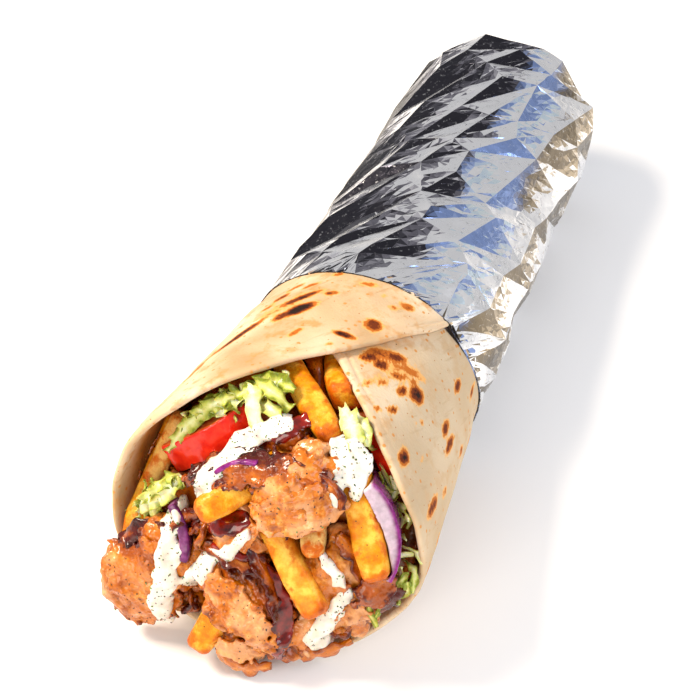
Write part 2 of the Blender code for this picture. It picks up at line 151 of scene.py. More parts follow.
# %% [markdown]
# ## Stains, specks and the last coat
#
# A real surface is rarely one colour: bread is scorched in rings, meat is toasted in patches,
# and pepper lies on everything. Each of these is one colour laid over another, so two helpers
# do it for all of them: one lays a stain where a pattern is high, the other strews specks.
# Food is wet and lets light sink in, so its last coat is shared too, with a thin film on top.

# %% Stains, specks and the last coat
FOOD_IOR = 1.4
FOOD_SHINE = 0.22
FILM_ROUGHNESS = 0.12
# How far red, green and blue light sink into food, as shares of the depth: red goes deepest.
SINKS_IN = (1.0, 0.45, 0.25)


def stain(tree, under, over, source, low, high, most=1.0):
    """Lays one colour over another where a pattern climbs from low to high."""
    amount = add(tree, "MapRange", {"interpolation_type": "SMOOTHSTEP"}, Value=source,
                 From_Min=low, From_Max=high, To_Max=most)
    return add(tree, "Mix", {"data_type": "RGBA"}, Factor=amount, A=under, B=over)


def pepper(tree, under, over, place, spacing_mm, size_mm, seed):
    """Strews specks of another colour, about one for each spacing_mm each way."""
    moved = add(tree, "Mapping", Vector=place, Location=(seed, seed, seed))
    cells = add(tree, "TexVoronoi", Vector=moved, Scale=per_metre(spacing_mm))
    edge = size_mm / 2 / spacing_mm
    heart = 0.6 * edge
    return stain(tree, under, over, cells, edge, heart)


def cover(tree, **looks):
    """Ends a finish: a shader with these looks, shown on the surface."""
    shader = add(tree, "BsdfPrincipled", **looks)
    add(tree, "OutputMaterial", Surface=shader)


def food(tree, base, roughness, normal, wet=0.0, glow=0.1, glow_mm=1.0):
    """Ends a food's finish: its gloss, its wet film, and the light that sinks into it."""
    cover(tree, Base_Color=base, Roughness=roughness, Normal=normal, IOR=FOOD_IOR,
          Specular_IOR_Level=FOOD_SHINE, Coat_Weight=wet, Coat_Roughness=FILM_ROUGHNESS,
          Subsurface_Weight=glow, Subsurface_Scale=glow_mm * MM, Subsurface_Radius=SINKS_IN)


print("red, green and blue sink into food by these shares of the depth:", SINKS_IN)

# %% [markdown]
# ## Surfaces as lists of points
#
# Bread, foil and meat are too uneven for plain primitives. Their points are worked out in
# whole arrays at once, which stays quick at a hundred thousand points, and then handed to
# Blender as one mesh. The mesh may also carry a value at each point, such as how scorched the
# bread is there, which a finish can read.

# %% Surfaces as lists of points
def points_of(mesh):
    """A mesh's points in millimetres."""
    flat = np.empty(len(mesh.vertices) * 3, np.float32)
    mesh.vertices.foreach_get("co", flat)
    return flat.reshape(-1, 3).astype(float) / MM


def move_points(mesh, points):
    """Puts a mesh's points at these places in millimetres."""
    mesh.vertices.foreach_set("co", (points * MM).astype(np.float32).ravel())
    mesh.update()


def normals_of(mesh):
    """The way out of the surface at each of a mesh's points."""
    flat = np.empty(len(mesh.vertices) * 3, np.float32)
    mesh.vertex_normals.foreach_get("vector", flat)
    return flat.reshape(-1, 3).astype(float)


def push_out(mesh, points, heights):
    """Puts a mesh's points at these places, pushed out by these heights in millimetres."""
    move_points(mesh, points + normals_of(mesh) * heights[:, None])


def carry(mesh, name, values):
    """Stores one value for each point, for a finish to read."""
    made = mesh.attributes.new(name, "FLOAT", "POINT")
    made.data.foreach_set("value", np.asarray(values, np.float32))


corner = bpy.data.meshes.new("corner")
corner.from_pydata([(0, 0, 0), (0.01, 0, 0), (0, 0.01, 0)], [], [(0, 1, 2)])
print("a corner's points in mm:", points_of(corner).round(1).tolist())
bpy.data.meshes.remove(corner)

# %% [markdown]
# ## Lumps and soft steps
#
# Nothing baked or roasted is smooth. A field of smooth random heights gives lumps of any size,
# and two or three sizes added together look grown. A soft step lets one thing turn into another
# without a line between them.

# %% Lumps and soft steps
def lumps(points, size_mm, seed=0.0, squeeze=(1, 1, 1)):
    """Smooth random heights from about -1 to 1, in lumps size_mm apart."""
    scaled = np.asarray(points) * (np.array(squeeze) / size_mm) + seed
    return np.array([noise.noise(place) for place in scaled.tolist()])


def soft_step(value, start, end):
    """0 up to the start and 1 from the end, with a smooth rise between."""
    share = np.clip((value - start) / (end - start), 0.0, 1.0)
    return share * share * (3 - 2 * share)


print("a soft step from 0 to 4:", soft_step(np.arange(5), 0, 4).round(2))

# %% [markdown]
# ## Closed meshes, and pieces on the body
#
# A piece is a closed skin, as a real thing has no open edges. A sheet of points in rows is
# joined by squares, points that meet are joined, and faces are turned outwards.

# %% Closed meshes, and pieces on the body
SAME_PLACE = 0.002
NO_AREA = 0.001


def grid_quads(rows, columns, first=0, closed=False):
    """Quads between rows of points, joined end to end if closed."""
    row = np.arange(rows - 1)[:, None] * columns
    start = np.arange(columns if closed else columns - 1)[None, :]
    a, b = row + start, row + (start + 1) % columns
    return (np.stack([a, b, b + columns, a + columns], axis=-1) + first).reshape(-1, 4).tolist()


def mend(mesh):
    """Joins points that meet, drops faces with no area, and turns every face outwards."""
    work = bmesh.new()
    work.from_mesh(mesh)
    bmesh.ops.remove_doubles(work, verts=work.verts, dist=SAME_PLACE * MM)
    bmesh.ops.dissolve_degenerate(work, edges=work.edges, dist=NO_AREA * MM)
    bmesh.ops.recalc_face_normals(work, faces=work.faces)
    work.to_mesh(mesh)
    work.free()


def make_mesh(name, points, faces, **values):
    """A closed mesh of these points and faces, whose points carry these values."""
    mesh = bpy.data.meshes.new(name)
    mesh.from_pydata((np.asarray(points) * MM).tolist(), [], faces)
    for key, share in values.items():
        carry(mesh, key, share)
    mend(mesh)
    return mesh


def make_piece(name, mesh, stuff, slot_name, *nodes, flat=False):
    """Puts a finished mesh in the scene, on the body, in place of its plain solids."""
    made = bpy.data.objects.new(name, mesh)
    bpy.context.scene.collection.objects.link(made)
    mesh.shade_flat() if flat else mesh.shade_smooth()
    mesh.materials.clear()
    mesh.materials.append(stuff)
    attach(made, "root")
    if nodes:
        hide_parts(*nodes)
    mesh.calc_loop_triangles()
    print(f"{name}: {len(mesh.loop_triangles)} triangles")
    return made


print("two rows of three points make the squares", grid_quads(2, 3))

# %% [markdown]
# ## The roll
#
# The wrap is a long roll, widest at the mouth and a little flatter than round, pressed flat
# where it rests. The bread and the foil both follow this one section, a small way in or out
# of its skin. Angles go round the roll from the top, towards +X.

# %% The roll
MOUTH_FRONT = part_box("tortilla")[0].y / MM
FOIL_LOW, FOIL_HIGH = (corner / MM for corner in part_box("foil_wrap"))
FOIL_EDGE = round(FOIL_LOW.y)
FOIL_BACK = FOIL_HIGH.y
END_DEPTH = 15
END_ROUND_FROM = FOIL_BACK - END_DEPTH
# Each place along the roll, and half its width there.
HALF_WIDTHS = [(-120, 46), (-95, 45), (-60, 41), (-20, 37), (20, 34.5), (60, 33), (111, 32.4)]
HEIGHT_RATIO = 0.95
REST_SINK = 1.0
END_ROUNDNESS = 2.4


def smooth_curve(knots, at):
    """Heights of a smooth curve through (place, height) knots, for many places at once."""
    x, y = np.array(knots, float).T
    at = np.clip(at, x[0], x[-1])
    slope = np.gradient(y, x)
    slope[1:-1] = (y[2:] - y[:-2]) / (x[2:] - x[:-2])
    i = np.clip(np.searchsorted(x, at, side="right") - 1, 0, len(x) - 2)
    span = x[i + 1] - x[i]
    t = (at - x[i]) / span
    ends = y[i] * (2 * t**3 - 3 * t**2 + 1) + y[i + 1] * (3 * t**2 - 2 * t**3)
    return ends + slope[i] * span * (t**3 - 2 * t**2 + t) + slope[i + 1] * span * (t**3 - t**2)


def on_roll(angle, y, offset, floor=0.0):
    """Points on the roll's skin, moved out by offset and never lower than floor."""
    reach = np.clip((y - END_ROUND_FROM) / END_DEPTH, 0, 1)
    straight = np.minimum(y, END_ROUND_FROM)
    wide = smooth_curve(HALF_WIDTHS, straight)
    centre = wide * HEIGHT_RATIO - REST_SINK
    wide = wide * (1 - reach**END_ROUNDNESS) ** (1 / END_ROUNDNESS)
    turn = np.radians(angle)
    x = np.maximum(wide + offset, 0) * np.sin(turn)
    z = centre + np.maximum(wide * HEIGHT_RATIO + offset, 0) * np.cos(turn)
    return np.stack([x, y + 0 * x, np.maximum(z, floor)], axis=-1)


print("roll from", round(MOUTH_FRONT, 1), "to", round(FOIL_BACK, 1), "mm, foil from", FOIL_EDGE)

# %% [markdown]
# ## The flatbread's shape
#
# The bread is one round sheet, 2.4 mm thick, rolled once round and a little more, so its last
# part lies over its first on top. It could be a cloth simulation, but the roll is so regular
# that a grid bent round it is truer: one direction goes round, and the other goes from the
# front edge back into the foil. This step says where the edge lies, with its wavers and a few
# scallops, and how deep the sheet lies under the roll's skin.

# %% The flatbread's shape
SHEET = 2.4
SHEET_RADIUS = 38
SHEET_START, SHEET_END = -50, 410
# The turns over which the sheet climbs on to its own first part, and the gap left between.
STEP_UP = (50, 130)
CLEARANCE = 0.35
# How far the foil presses the sheet in, and from where to where along the roll.
FOIL_TUCK = 0.9
TUCK = (FOIL_EDGE - 16, FOIL_EDGE - 3)
# Under the foil the sheet sinks a little more, so that the two never touch.
FOIL_SINK = 2.2
SEEN_TO = FOIL_EDGE + 6
SHEET_BACK = 100
# Each turn round the roll, and how far forward the sheet's edge reaches there.
RIM = [
    (-50, -21), (-25, -38.5), (8, -58.5), (30, -74), (50, -85), (75, -91), (107, -92),
    (125, -94), (146, -100), (165, -104), (195, -106), (225, -106), (250, -104), (270, -100),
    (290, -97), (310, -95.5), (320, -90.5), (331, -82.5), (344, -74.5), (355, -66.5),
    (368, -57.5), (387, -40.5), (397, -30), (410, -16),
]


def bread_rim(turn):
    """How far forward the bread reaches at a turn, with the wavers of a real cut edge."""
    round_edge = np.stack([turn / 11, 0 * turn, 0 * turn], axis=-1)
    flap = soft_step(turn, 372, 384)
    scallops = 0.8 * flap * np.abs(np.sin(np.radians(turn) * 9.5))
    return smooth_curve(RIM, turn) + 0.5 * lumps(round_edge, 1.0, 3.1) + scallops


def bread_depth(turn, y):
    """How far the sheet's outer face lies below the roll's skin."""
    under = (SHEET + CLEARANCE) * (1 - soft_step(turn, *STEP_UP))
    hidden = FOIL_SINK * soft_step(y, FOIL_EDGE + 4, FOIL_EDGE + 20)
    return under + FOIL_TUCK * soft_step(y, *TUCK) + hidden


print("the edge reaches from", bread_rim(np.arange(SHEET_START, SHEET_END)).min().round(1), "mm")

# %% [markdown]
# ## The flatbread's net of points
#
# Each column is a loop: along the outside from the back to the edge, round the edge's nose, and
# along the inside to the back again. Rows lie closest together near the edge, where it shows.
# Then come the waves of a soft dough, the line where it was pressed, and the rest on the table.

# %% The flatbread's net of points
COLUMNS, SEEN_ROWS, HIDDEN_ROWS, NOSE_ROWS = 331, 86, 9, 9
CROWDING = 1.15


def sheet_rows(front):
    """Each row's place along the roll, and how deep it lies in the sheet, from 0 to 1."""
    start = front + SHEET / 2
    seen = np.linspace(0, 1, SEEN_ROWS)[:, None] ** CROWDING
    hidden = np.linspace(0, 1, HIDDEN_ROWS)[1:, None]
    to_back = np.concatenate([start + (SEEN_TO - start) * seen,
                              SEEN_TO + (SHEET_BACK - SEEN_TO) * hidden + 0 * front])
    nose = np.linspace(0, np.pi, NOSE_ROWS)[1:-1, None]
    y = np.concatenate([to_back[::-1], front + SHEET / 2 * (1 - np.sin(nose)), to_back])
    depth = np.concatenate([0 * to_back, (1 - np.cos(nose)) / 2 + 0 * front, 0 * to_back + 1])
    return y, depth


def sheet_faces(rows, columns):
    """The sheet's two sides and its nose, then its two cut ends, then its back."""
    faces = grid_quads(rows, columns)
    for column in (0, columns - 1):
        end = [row * columns + column for row in range(rows)]
        for low in range(rows // 2):
            quad = (end[low], end[low + 1], end[-2 - low], end[-1 - low])
            faces.append(quad if column else quad[::-1])
    last = (rows - 1) * columns
    return faces + [(last + c, last + c + 1, c + 1, c) for c in range(columns - 1)]


def bread_sheet():
    """The sheet's points and quads, with each point's turn, distance from the edge, depth and
    place along the roll."""
    turn = np.linspace(SHEET_START, SHEET_END, COLUMNS)
    front = bread_rim(turn)
    y, depth = sheet_rows(front)
    turns = turn + 0 * y
    behind = y - front
    skin = on_roll(turns, y, -bread_depth(turns, y)).reshape(-1, 3)
    wave = 0.38 * lumps(skin, 22, 7.7) + 0.16 * lumps(skin, 7, 1.3) + 0.05 * lumps(skin, 2.6, 5.0)
    wave = wave.reshape(y.shape) * (1 - soft_step(y, *TUCK))
    pressed = 0.34 * np.exp(-((behind - 4.4) / 0.9) ** 2) * (0.6 + 0.4 * np.sin(turns / 9))
    thin = 0.35 * np.exp(-np.maximum(behind, 0) / 2.0)
    floor = (0.8 + 2 * CLEARANCE) * soft_step(y, *TUCK) + depth * SHEET
    out = wave - (pressed + thin) * (1 - depth) + thin * depth
    points = on_roll(turns, y, out - bread_depth(turns, y) - depth * SHEET, floor)
    faces = sheet_faces(*y.shape)
    return points.reshape(-1, 3), faces, turns.ravel(), behind.ravel(), depth.ravel(), y.ravel()


BREAD_POINTS, BREAD_FACES, BREAD_TURN, BREAD_BEHIND, BREAD_DEPTH, BREAD_Y = bread_sheet()
print("flatbread:", len(BREAD_POINTS), "points")

# %% [markdown]
# ## Griddle marks
#
# A flatbread scorches where its blisters touch the hot plate: a black heart, a red-brown ring
# and a pale toasted halo. Each mark is listed by where it lies on the sheet, as its turn round
# the roll and its place along it, with its length, its width and its slant. The mesh carries
# only how close each point is to a mark's heart. The finish turns that into the three rings
# with ragged borders, so the marks stay crisp on a mesh far coarser than their edges.

# %% Griddle marks
# turn, y, length, width, slant from the roll's axis, heat
SCORCHES = [
    (342, -43, 11, 5, 40, 1.0), (336, -47, 6, 4, 30, 0.75), (338, -37, 15, 3, 42, 0.85),
    (337, -29, 6, 2.6, 40, 0.6), (329, -29, 7, 2.6, 40, 0.5), (327, -35, 6, 3, 30, 0.75),
    (350, -33, 5, 3, 60, 0.65), (321, -55, 20, 3.4, 32, 0.85), (324, -40, 6, 3, 35, 0.5),
    (348, -55, 6, 2.4, 20, 0.55), (366, -51, 6.5, 3, 85, 0.85), (374, -42, 6, 5.5, 20, 0.8),
    (382, -27, 5.5, 3.6, 75, 0.6), (377, -31, 4, 3, 40, 0.42), (362, -24, 6, 3, 80, 0.5),
    (346, -22, 4.5, 2.4, 60, 0.55), (310, -68, 16, 3, 12, 0.55), (363, -57, 3, 2, 40, 0.4),
    (333, -41, 22, 7, 40, 0.34), (395, -34, 4, 3, 20, 0.3), (371, -27, 3, 2, 20, 0.3),
    (22, -49, 11, 5, 55, 0.62), (29, -47, 9, 4, 60, 0.75), (38, -48, 12, 4, 70, 0.5),
    (19, -53, 7, 3.4, 50, 0.8), (25, -53, 6, 3.4, 45, 0.85), (33, -50, 18, 9, 60, 0.36),
    (34, -53, 8, 2.6, 50, 0.6), (41, -51, 5, 3, 40, 0.55), (38, -57, 5.5, 3, 15, 0.8),
    (45, -54, 6.5, 6, 0, 0.9), (29, -59, 6, 2.4, 30, 0.55), (32, -70, 3.6, 2, 20, 0.62),
    (38, -66, 5.4, 2.4, 25, 0.7), (24, -62, 10, 2.4, 25, 0.42), (65, -35, 7, 3.6, 5, 0.72),
    (80, -27, 8, 2.4, 0, 0.66), (67, -53, 7.5, 3.8, 0, 0.72), (74, -55, 9, 3.4, 0, 0.74),
    (51, -78, 7, 4, 0, 0.85), (77, -79, 11, 3.6, 8, 0.74), (73, -95, 6, 2.2, 0, 0.6),
    (53, -61, 2.6, 2, 0, 0.45), (50, -63, 2.2, 1.8, 0, 0.4), (60, -72, 6, 2, 0, 0.3),
    (88, -48, 6, 3, 10, 0.6), (84, -68, 5, 2.6, 10, 0.5),
]
# The underside has three loose rows of marks.
scatter = np.random.default_rng(5)
for turn_at in range(100, 306, 9):
    for mark_row in (-92, -68, -44):
        SCORCHES.append((turn_at + scatter.uniform(-5, 5), mark_row + scatter.uniform(-10, 10),
                         scatter.uniform(3, 9), scatter.uniform(2, 4.5),
                         scatter.uniform(-20, 50), scatter.uniform(0.25, 0.85)))


def scorch_field(turn, y):
    """How close each point of the sheet is to a mark: 1 at a hot heart, 0 away from all."""
    heat = np.zeros(len(turn))
    for mark_turn, mark_y, length, width, slant, strength in SCORCHES:
        across = np.radians(turn - mark_turn) * SHEET_RADIUS
        along = y - mark_y
        c, s = math.cos(math.radians(slant)), math.sin(math.radians(slant))
        u, v = (along * c + across * s) / length, (across * c - along * s) / width
        near = strength * np.clip(1.5 - 2.2 * np.hypot(u, v), -0.4, 1)
        heat = np.maximum(heat, near)
    return heat


BREAD_HEAT = scorch_field(BREAD_TURN, BREAD_Y) * (BREAD_DEPTH < 0.3)
print("griddle marks:", len(SCORCHES), "hottest", round(float(BREAD_HEAT.max()), 2))

# %% [markdown]
# ## The flatbread's finish
#
# Flour tortilla: a dry, matt, floury dough baked on a griddle. Its crumb shows as faint cream
# and straw clouds with fine fibres, drawn along the sheet, and tiny scorched specks. Its high
# spots toast to straw, and its cut edge stays pale. Dough lets a little light sink in, which
# keeps its shadows warm.

# %% The flatbread's finish
# The mesh carries each point's place on the flat sheet, in tenths of a metre.
SHEET_UNIT = 100
FIBRE_SLANT = 0.55


def baked_flatbread():
    """Dough in clouds and fibres, its toasted sides, its specks, and its scorched rings."""
    material, tree, place = new_finish("griddled flour flatbread")
    ragged = add(tree, "TexNoise", Vector=place, Scale=per_metre(2.2), Detail=4, Roughness=0.65)
    burnt = add(tree, "Math", {"operation": "MULTIPLY_ADD"}, _0=ragged, _1=0.75,
                _2=carried(tree, "scorch"))
    shade = add(tree, "TexNoise", Vector=place, Scale=per_metre(26), Detail=2)
    clouds = add(tree, "TexNoise", Vector=place, Scale=per_metre(6), Detail=4, Roughness=0.6)
    sheet_place = add(tree, "CombineXYZ", X=carried(tree, "slant"), Y=carried(tree, "run"))
    drawn = add(tree, "Mapping", Vector=sheet_place, Scale=(1.0, 0.16, 1.0))
    fibres = add(tree, "TexNoise", Vector=drawn, Scale=SHEET_UNIT / 2.4, Detail=3,
                 Roughness=0.6)
    dough = add(tree, "ValToRGB", Fac=shade,
                stops=[(0.3, "b8966c"), (0.48, "d1b38e"), (0.68, "e6d3b5")])
    dough = stain(tree, dough, "c68a46", clouds, 0.5, 0.68, 0.7)
    dough = stain(tree, dough, "b98a54", fibres, 0.55, 0.72, 0.5)
    # Painted shade: greyer on the roll's right side and underside.
    dough = stain(tree, dough, "c3ad8c", carried(tree, "cool"), 0.0, 1.0)
    dough = stain(tree, dough, "a98f6c", fibres, 0.6, 0.76, 0.3)
    # Painted bounce light: warmer inside the roll, where the filling lights it.
    dough = stain(tree, dough, "d98c30", carried(tree, "warm"), 0.0, 1.0)
    dough = pepper(tree, dough, "a8692c", place, 2.6, 0.5, 0.3)
    dough = pepper(tree, dough, "c98b4a", place, 3.4, 1.3, 0.9)
    dough = pepper(tree, dough, "3a2213", place, 6.5, 0.5, 0.7)
    for ring, low, high in (("e2a860", 0.5, 0.7), ("b8641f", 0.68, 0.84),
                            ("6b2c0c", 0.9, 1.08), ("24110a", 1.14, 1.3)):
        dough = stain(tree, dough, ring, burnt, low, high)
    fine = add(tree, "TexNoise", Vector=place, Scale=per_metre(0.8), Detail=2)
    bumps = add(tree, "Bump", Height=clouds, Distance=0.35 * MM)
    bumps = add(tree, "Bump", Height=fine, Distance=0.12 * MM, Normal=bumps)
    food(tree, dough, 0.72, bumps, 0.0, 0.12, 0.8)
    return material


BREAD = baked_flatbread()


def flatbread():
    """The bread, greyed by painted shade on its right, and warmed inside by painted bounce light,
    where the filling lights it.
    """
    right = soft_step(BREAD_TURN, 14, 50) * (1 - soft_step(BREAD_TURN, 200, 260))
    arc = np.radians(BREAD_TURN) * SHEET_RADIUS
    mesh = make_mesh("flatbread", BREAD_POINTS, BREAD_FACES, scorch=BREAD_HEAT,
                     # Painted shade on the right side, and painted bounce light inside.
                     cool=0.6 * right * (1 - BREAD_DEPTH),
                     warm=0.75 * BREAD_DEPTH * soft_step(BREAD_BEHIND, 1, 12),
                     slant=(arc - FIBRE_SLANT * BREAD_Y) / SHEET_UNIT,
                     run=(BREAD_Y + FIBRE_SLANT * arc) / SHEET_UNIT)
    return make_piece("flatbread", mesh, BREAD, "flatbread", "tortilla")


flatbread()

# %% [markdown]
# ## Crumpled foil
#
# Household foil is thin aluminium rolled bright on one side. Twisted round a roll it creases
# along slanted lines and stays flat between them, so it is a patchwork of long flat facets
# with knife-sharp edges. Random points joined into triangles give just that, so this step
# strews points on the flat sheet, in uneven rows along the folds, and says how the sheet wraps
# the roll and closes over its end.

# %% Crumpled foil
FOIL_RADIUS = 34.0
HALF_ROUND = math.pi * FOIL_RADIUS
FOIL_LENGTH = END_ROUND_FROM - FOIL_EDGE
CAP_LENGTH = 42.0
FOIL_TOP = FOIL_LENGTH + CAP_LENGTH
FOLD_SLANT = math.radians(47)
# How far apart creases are, how much longer than that they are, and how high they stand.
CREASES = ((9.0, 2.6, 0.95), (3.7, 2.5, 0.5), (1.8, 2.2, 0.15))
FOIL_STAND_OFF = 0.3 + CREASES[0][2] / 2
# Longer than the flat sheet from corner to corner, so that the slanted rows cover it.
FOIL_SPAN = 260
# How far a point strays from its row's even spacing, as a share of it.
STRAYS_ALONG, STRAYS_ACROSS = 0.42, 0.38
foil_rng = np.random.default_rng(11)


def foil_place(a, m, offset):
    """A point of the unrolled foil, wrapped round the roll and over its closed end."""
    past = np.clip((m - FOIL_LENGTH) / CAP_LENGTH, 0, 1) * math.pi / 2
    y = np.where(m < FOIL_LENGTH, FOIL_EDGE + m,
                 END_ROUND_FROM + END_DEPTH * np.sin(past) ** (2 / END_ROUNDNESS))
    return on_roll(np.degrees(a / FOIL_RADIUS), y, offset)


def fold_points(spacing, stretch):
    """Points on the unrolled foil in uneven rows that run along the folds."""
    span = int(FOIL_SPAN / spacing)
    along, across = np.meshgrid(np.arange(-span, span), np.arange(-span, span))
    strays = foil_rng.uniform(-STRAYS_ALONG, STRAYS_ALONG, along.shape)
    along = (along + 0.5 * (across % 2) + strays) * stretch
    across = across + foil_rng.uniform(-STRAYS_ACROSS, STRAYS_ACROSS, across.shape)
    c, s = math.cos(FOLD_SLANT), math.sin(FOLD_SLANT)
    spots = np.stack([along * s + across * c, along * c - across * s], axis=-1) * spacing
    spots = spots.reshape(-1, 2)
    edge = 0.4 * spacing
    inside = (np.abs(spots[:, 0]) < HALF_ROUND - edge) & (spots[:, 1] > edge)
    return spots[inside & (spots[:, 1] < FOIL_TOP - edge)]


def border_points():
    """Points round the edge of the unrolled foil, matched where its two sides meet."""
    a = np.linspace(-HALF_ROUND, HALF_ROUND, 161)
    m = np.linspace(0, FOIL_TOP, 61)[1:-1]
    edges = [np.column_stack([a, 0 * a]), np.column_stack([a, 0 * a + FOIL_TOP]),
             np.column_stack([0 * m - HALF_ROUND, m]), np.column_stack([0 * m + HALF_ROUND, m])]
    return np.concatenate(edges)


print(f"flat foil: {2 * HALF_ROUND:.0f} mm round and {FOIL_TOP:.0f} mm long")

# %% [markdown]
# ## Creases that stay sharp
#
# Big triangles are the folds. Each is split by smaller ones, whose points lie a little above or
# below it, and those are split again. Older creases are kept as edges each time, so every
# crease is a true edge of the mesh and stays sharp. A Delaunay net joins the points, and the
# sheet is squeezed along its folds first, so that its triangles come out long and thin.

# %% Creases that stay sharp
def folded(spots, stretch):
    """The spots measured along and across the folds, with the long way shortened. It is its
    own inverse, apart from the shortening."""
    c, s = math.cos(FOLD_SLANT), math.sin(FOLD_SLANT)
    return np.stack([(spots[:, 0] * s + spots[:, 1] * c) / stretch,
                     spots[:, 0] * c - spots[:, 1] * s], axis=-1)


def split(spots, creases, stretch):
    """Long triangles between the spots that keep the older creases as edges."""
    laid = [Vector(p) for p in folded(spots, stretch).tolist()]
    made = geometry.delaunay_2d_cdt(laid, creases, [], 0, 1e-6)
    back = np.array([(p[0] * stretch, p[1]) for p in made[0]])
    fans = [(face[0], face[k], face[k + 1]) for face in made[2] for k in range(1, len(face) - 1)]
    return folded(back, 1.0), np.array(fans)


def cut_up(spots, creases, length):
    """More spots along each crease, a length apart, and the creases between them."""
    extra, pieces = [], []
    for i, j in creases:
        parts = max(round(float(np.linalg.norm(spots[j] - spots[i])) / length), 1)
        inner = [spots[i] + (spots[j] - spots[i]) * k / parts for k in range(1, parts)]
        row = [i] + [len(spots) + len(extra) + k for k in range(parts - 1)] + [j]
        extra += inner
        pieces += list(zip(row, row[1:]))
    return np.concatenate([spots, np.array(extra).reshape(-1, 2)]), pieces


def edges_of(triangles):
    """Every edge of the triangles once, as a pair of corners."""
    pairs = np.sort(np.concatenate([triangles[:, [0, 1]], triangles[:, [1, 2]],
                                    triangles[:, [2, 0]]]), axis=1)
    return np.unique(pairs, axis=0).tolist()


def crossed(v, w):
    """Twice the area between two flat directions."""
    return v[:, 0] * w[:, 1] - v[:, 1] * w[:, 0]


def place_on(spots, older, older_places, triangles):
    """Where each spot lies on the older, flat facets."""
    flat = np.column_stack([older, 0 * older[:, 0]])
    tree = BVHTree.FromPolygons(flat.tolist(), triangles.tolist())
    found = [tree.find_nearest((p[0], p[1], 0))[2] for p in spots.tolist()]
    corner = triangles[found]
    p, q, r = (older[corner[:, i]] for i in range(3))
    whole = crossed(q - p, r - p)
    whole = np.where(np.abs(whole) < 1e-6, 1e-6, whole)
    by_q = np.clip(crossed(spots - p, r - p) / whole, 0, 1)
    by_r = np.clip(crossed(q - p, spots - p) / whole, 0, 1 - by_q)
    weights = np.column_stack([1 - by_q - by_r, by_q, by_r])
    return (older_places[corner] * weights[..., None]).sum(axis=1), np.array(found)


print("a square's edges:", edges_of(np.array([[0, 1, 2], [0, 2, 3]])))

# %% [markdown]
# ## Three sizes of fold
#
# The sheet is folded three times: into folds a finger wide, into creases across those, and into
# the fine crinkle of foil that was balled up. The last facets are worked out on the flat sheet
# and laid on the roll. Each facet also learns which way its own fold faces, for the next step.

# %% Three sizes of fold
# A place inside the sleeve that every facet faces away from.
FOIL_HEART = (0, 60, dict(HALF_WIDTHS)[-20] * HEIGHT_RATIO)
# How much of a new lift is left where a point was there before, or lies on an older crease.
OLD_LIFT, CREASE_LIFT = 0.2, 0.6


def facing(places, triangles):
    """The outward direction of each facet."""
    p, q, r = (places[triangles[:, i]] for i in range(3))
    normal = np.cross(q - p, r - p)
    normal /= np.linalg.norm(normal, axis=1)[:, None] + 1e-12
    middle = (p + q + r) / 3 - FOIL_HEART
    outward = (normal * middle * (1, 0.05, 1)).sum(axis=1)
    return normal * np.where(outward < 0, -1, 1)[:, None]


def crumple():
    """The foil's spots, places and facets, and the way that each facet's fold faces."""
    spots, places, triangles = border_points(), None, None
    for spacing, stretch, height in CREASES:
        old = len(spots)
        extra = fold_points(spacing, stretch)
        creases = edges_of(triangles) if triangles is not None else []
        kept, creases = cut_up(spots, creases, spacing * 1.3)
        newer, finer_triangles = split(np.concatenate([kept, extra]), creases, stretch)
        a, m = newer.T
        lift = height * foil_rng.uniform(-0.5, 0.5, len(newer))
        lift[(np.abs(np.abs(a) - HALF_ROUND) < 0.01) | (m > FOIL_TOP - 0.01)] = 0
        lift *= soft_step(m, -1, 7)
        if places is None:
            moved = foil_place(a, m, lift + FOIL_STAND_OFF)
            fold = facing(moved, finer_triangles)
        else:
            base, _ = place_on(newer, spots, places, triangles)
            lift[:old] *= OLD_LIFT
            lift[old:len(kept)] *= CREASE_LIFT
            lift *= 1 - soft_step(m, FOIL_LENGTH + 10, FOIL_TOP)
            out_way = foil_place(a, m, 1.0) - foil_place(a, m, 0.0)
            moved = base + out_way * lift[:, None]
            _, found = place_on(newer[finer_triangles].mean(axis=1), spots, places, triangles)
            fold = 0.5 * fold[found] + 0.5 * facing(moved, finer_triangles)
        spots, places, triangles = newer, moved, finer_triangles
    return spots, places, triangles, fold


FOIL_SPOTS, FOIL_PLACES, FOIL_FACETS, FOIL_FOLD = crumple()
print("foil facets:", len(FOIL_FACETS))

# %% [markdown]
# ## The foil's finish
#
# Aluminium foil, cold rolled: a mirror. Each facet mirrors a different part of the room, which is
# why foil seems to be made of many colours at once. A plain studio has none of them to offer,
# so the metal's own colour carries them as three broad fields of painted reflection, keyed to
# the way each facet faces: charcoal on top, sky blue on the upper right, and the tan of a wooden
# table below. Facets that tip back are painted white, a painted highlight as of a window.

# %% The foil's finish
# Degrees from the top at which the sky and the table begin, on the right and on the left.
SKY_FROM, TABLE_FROM, LEFT_TABLE_FROM = 19, 60, 52
# How much the fold, and not the place round the roll, decides which of them a facet mirrors.
FOLD_SAYS = 0.45
LEFT_TABLE_SHOWS = 0.6
# The shares of the facets that are darker than the dark, the middle and the white tone.
DARK_TO_WHITE = (0.26, 0.5, 0.64)
# Metal gives back less than it gets, so the tones it carries are brightened to make up for it.
BRIGHTENED = 1.45
# Dark, middle and white tone of each field of painted reflection; the white tone is a painted
# highlight.
SHADES = {
    "charcoal": ("2d2c32", "74727a", "fdfbfd"),
    "sky": ("7c90bc", "c2d0f0", "ffffff"),
    "table": ("665c4c", "9c8e78", "f6f0e8"),
}


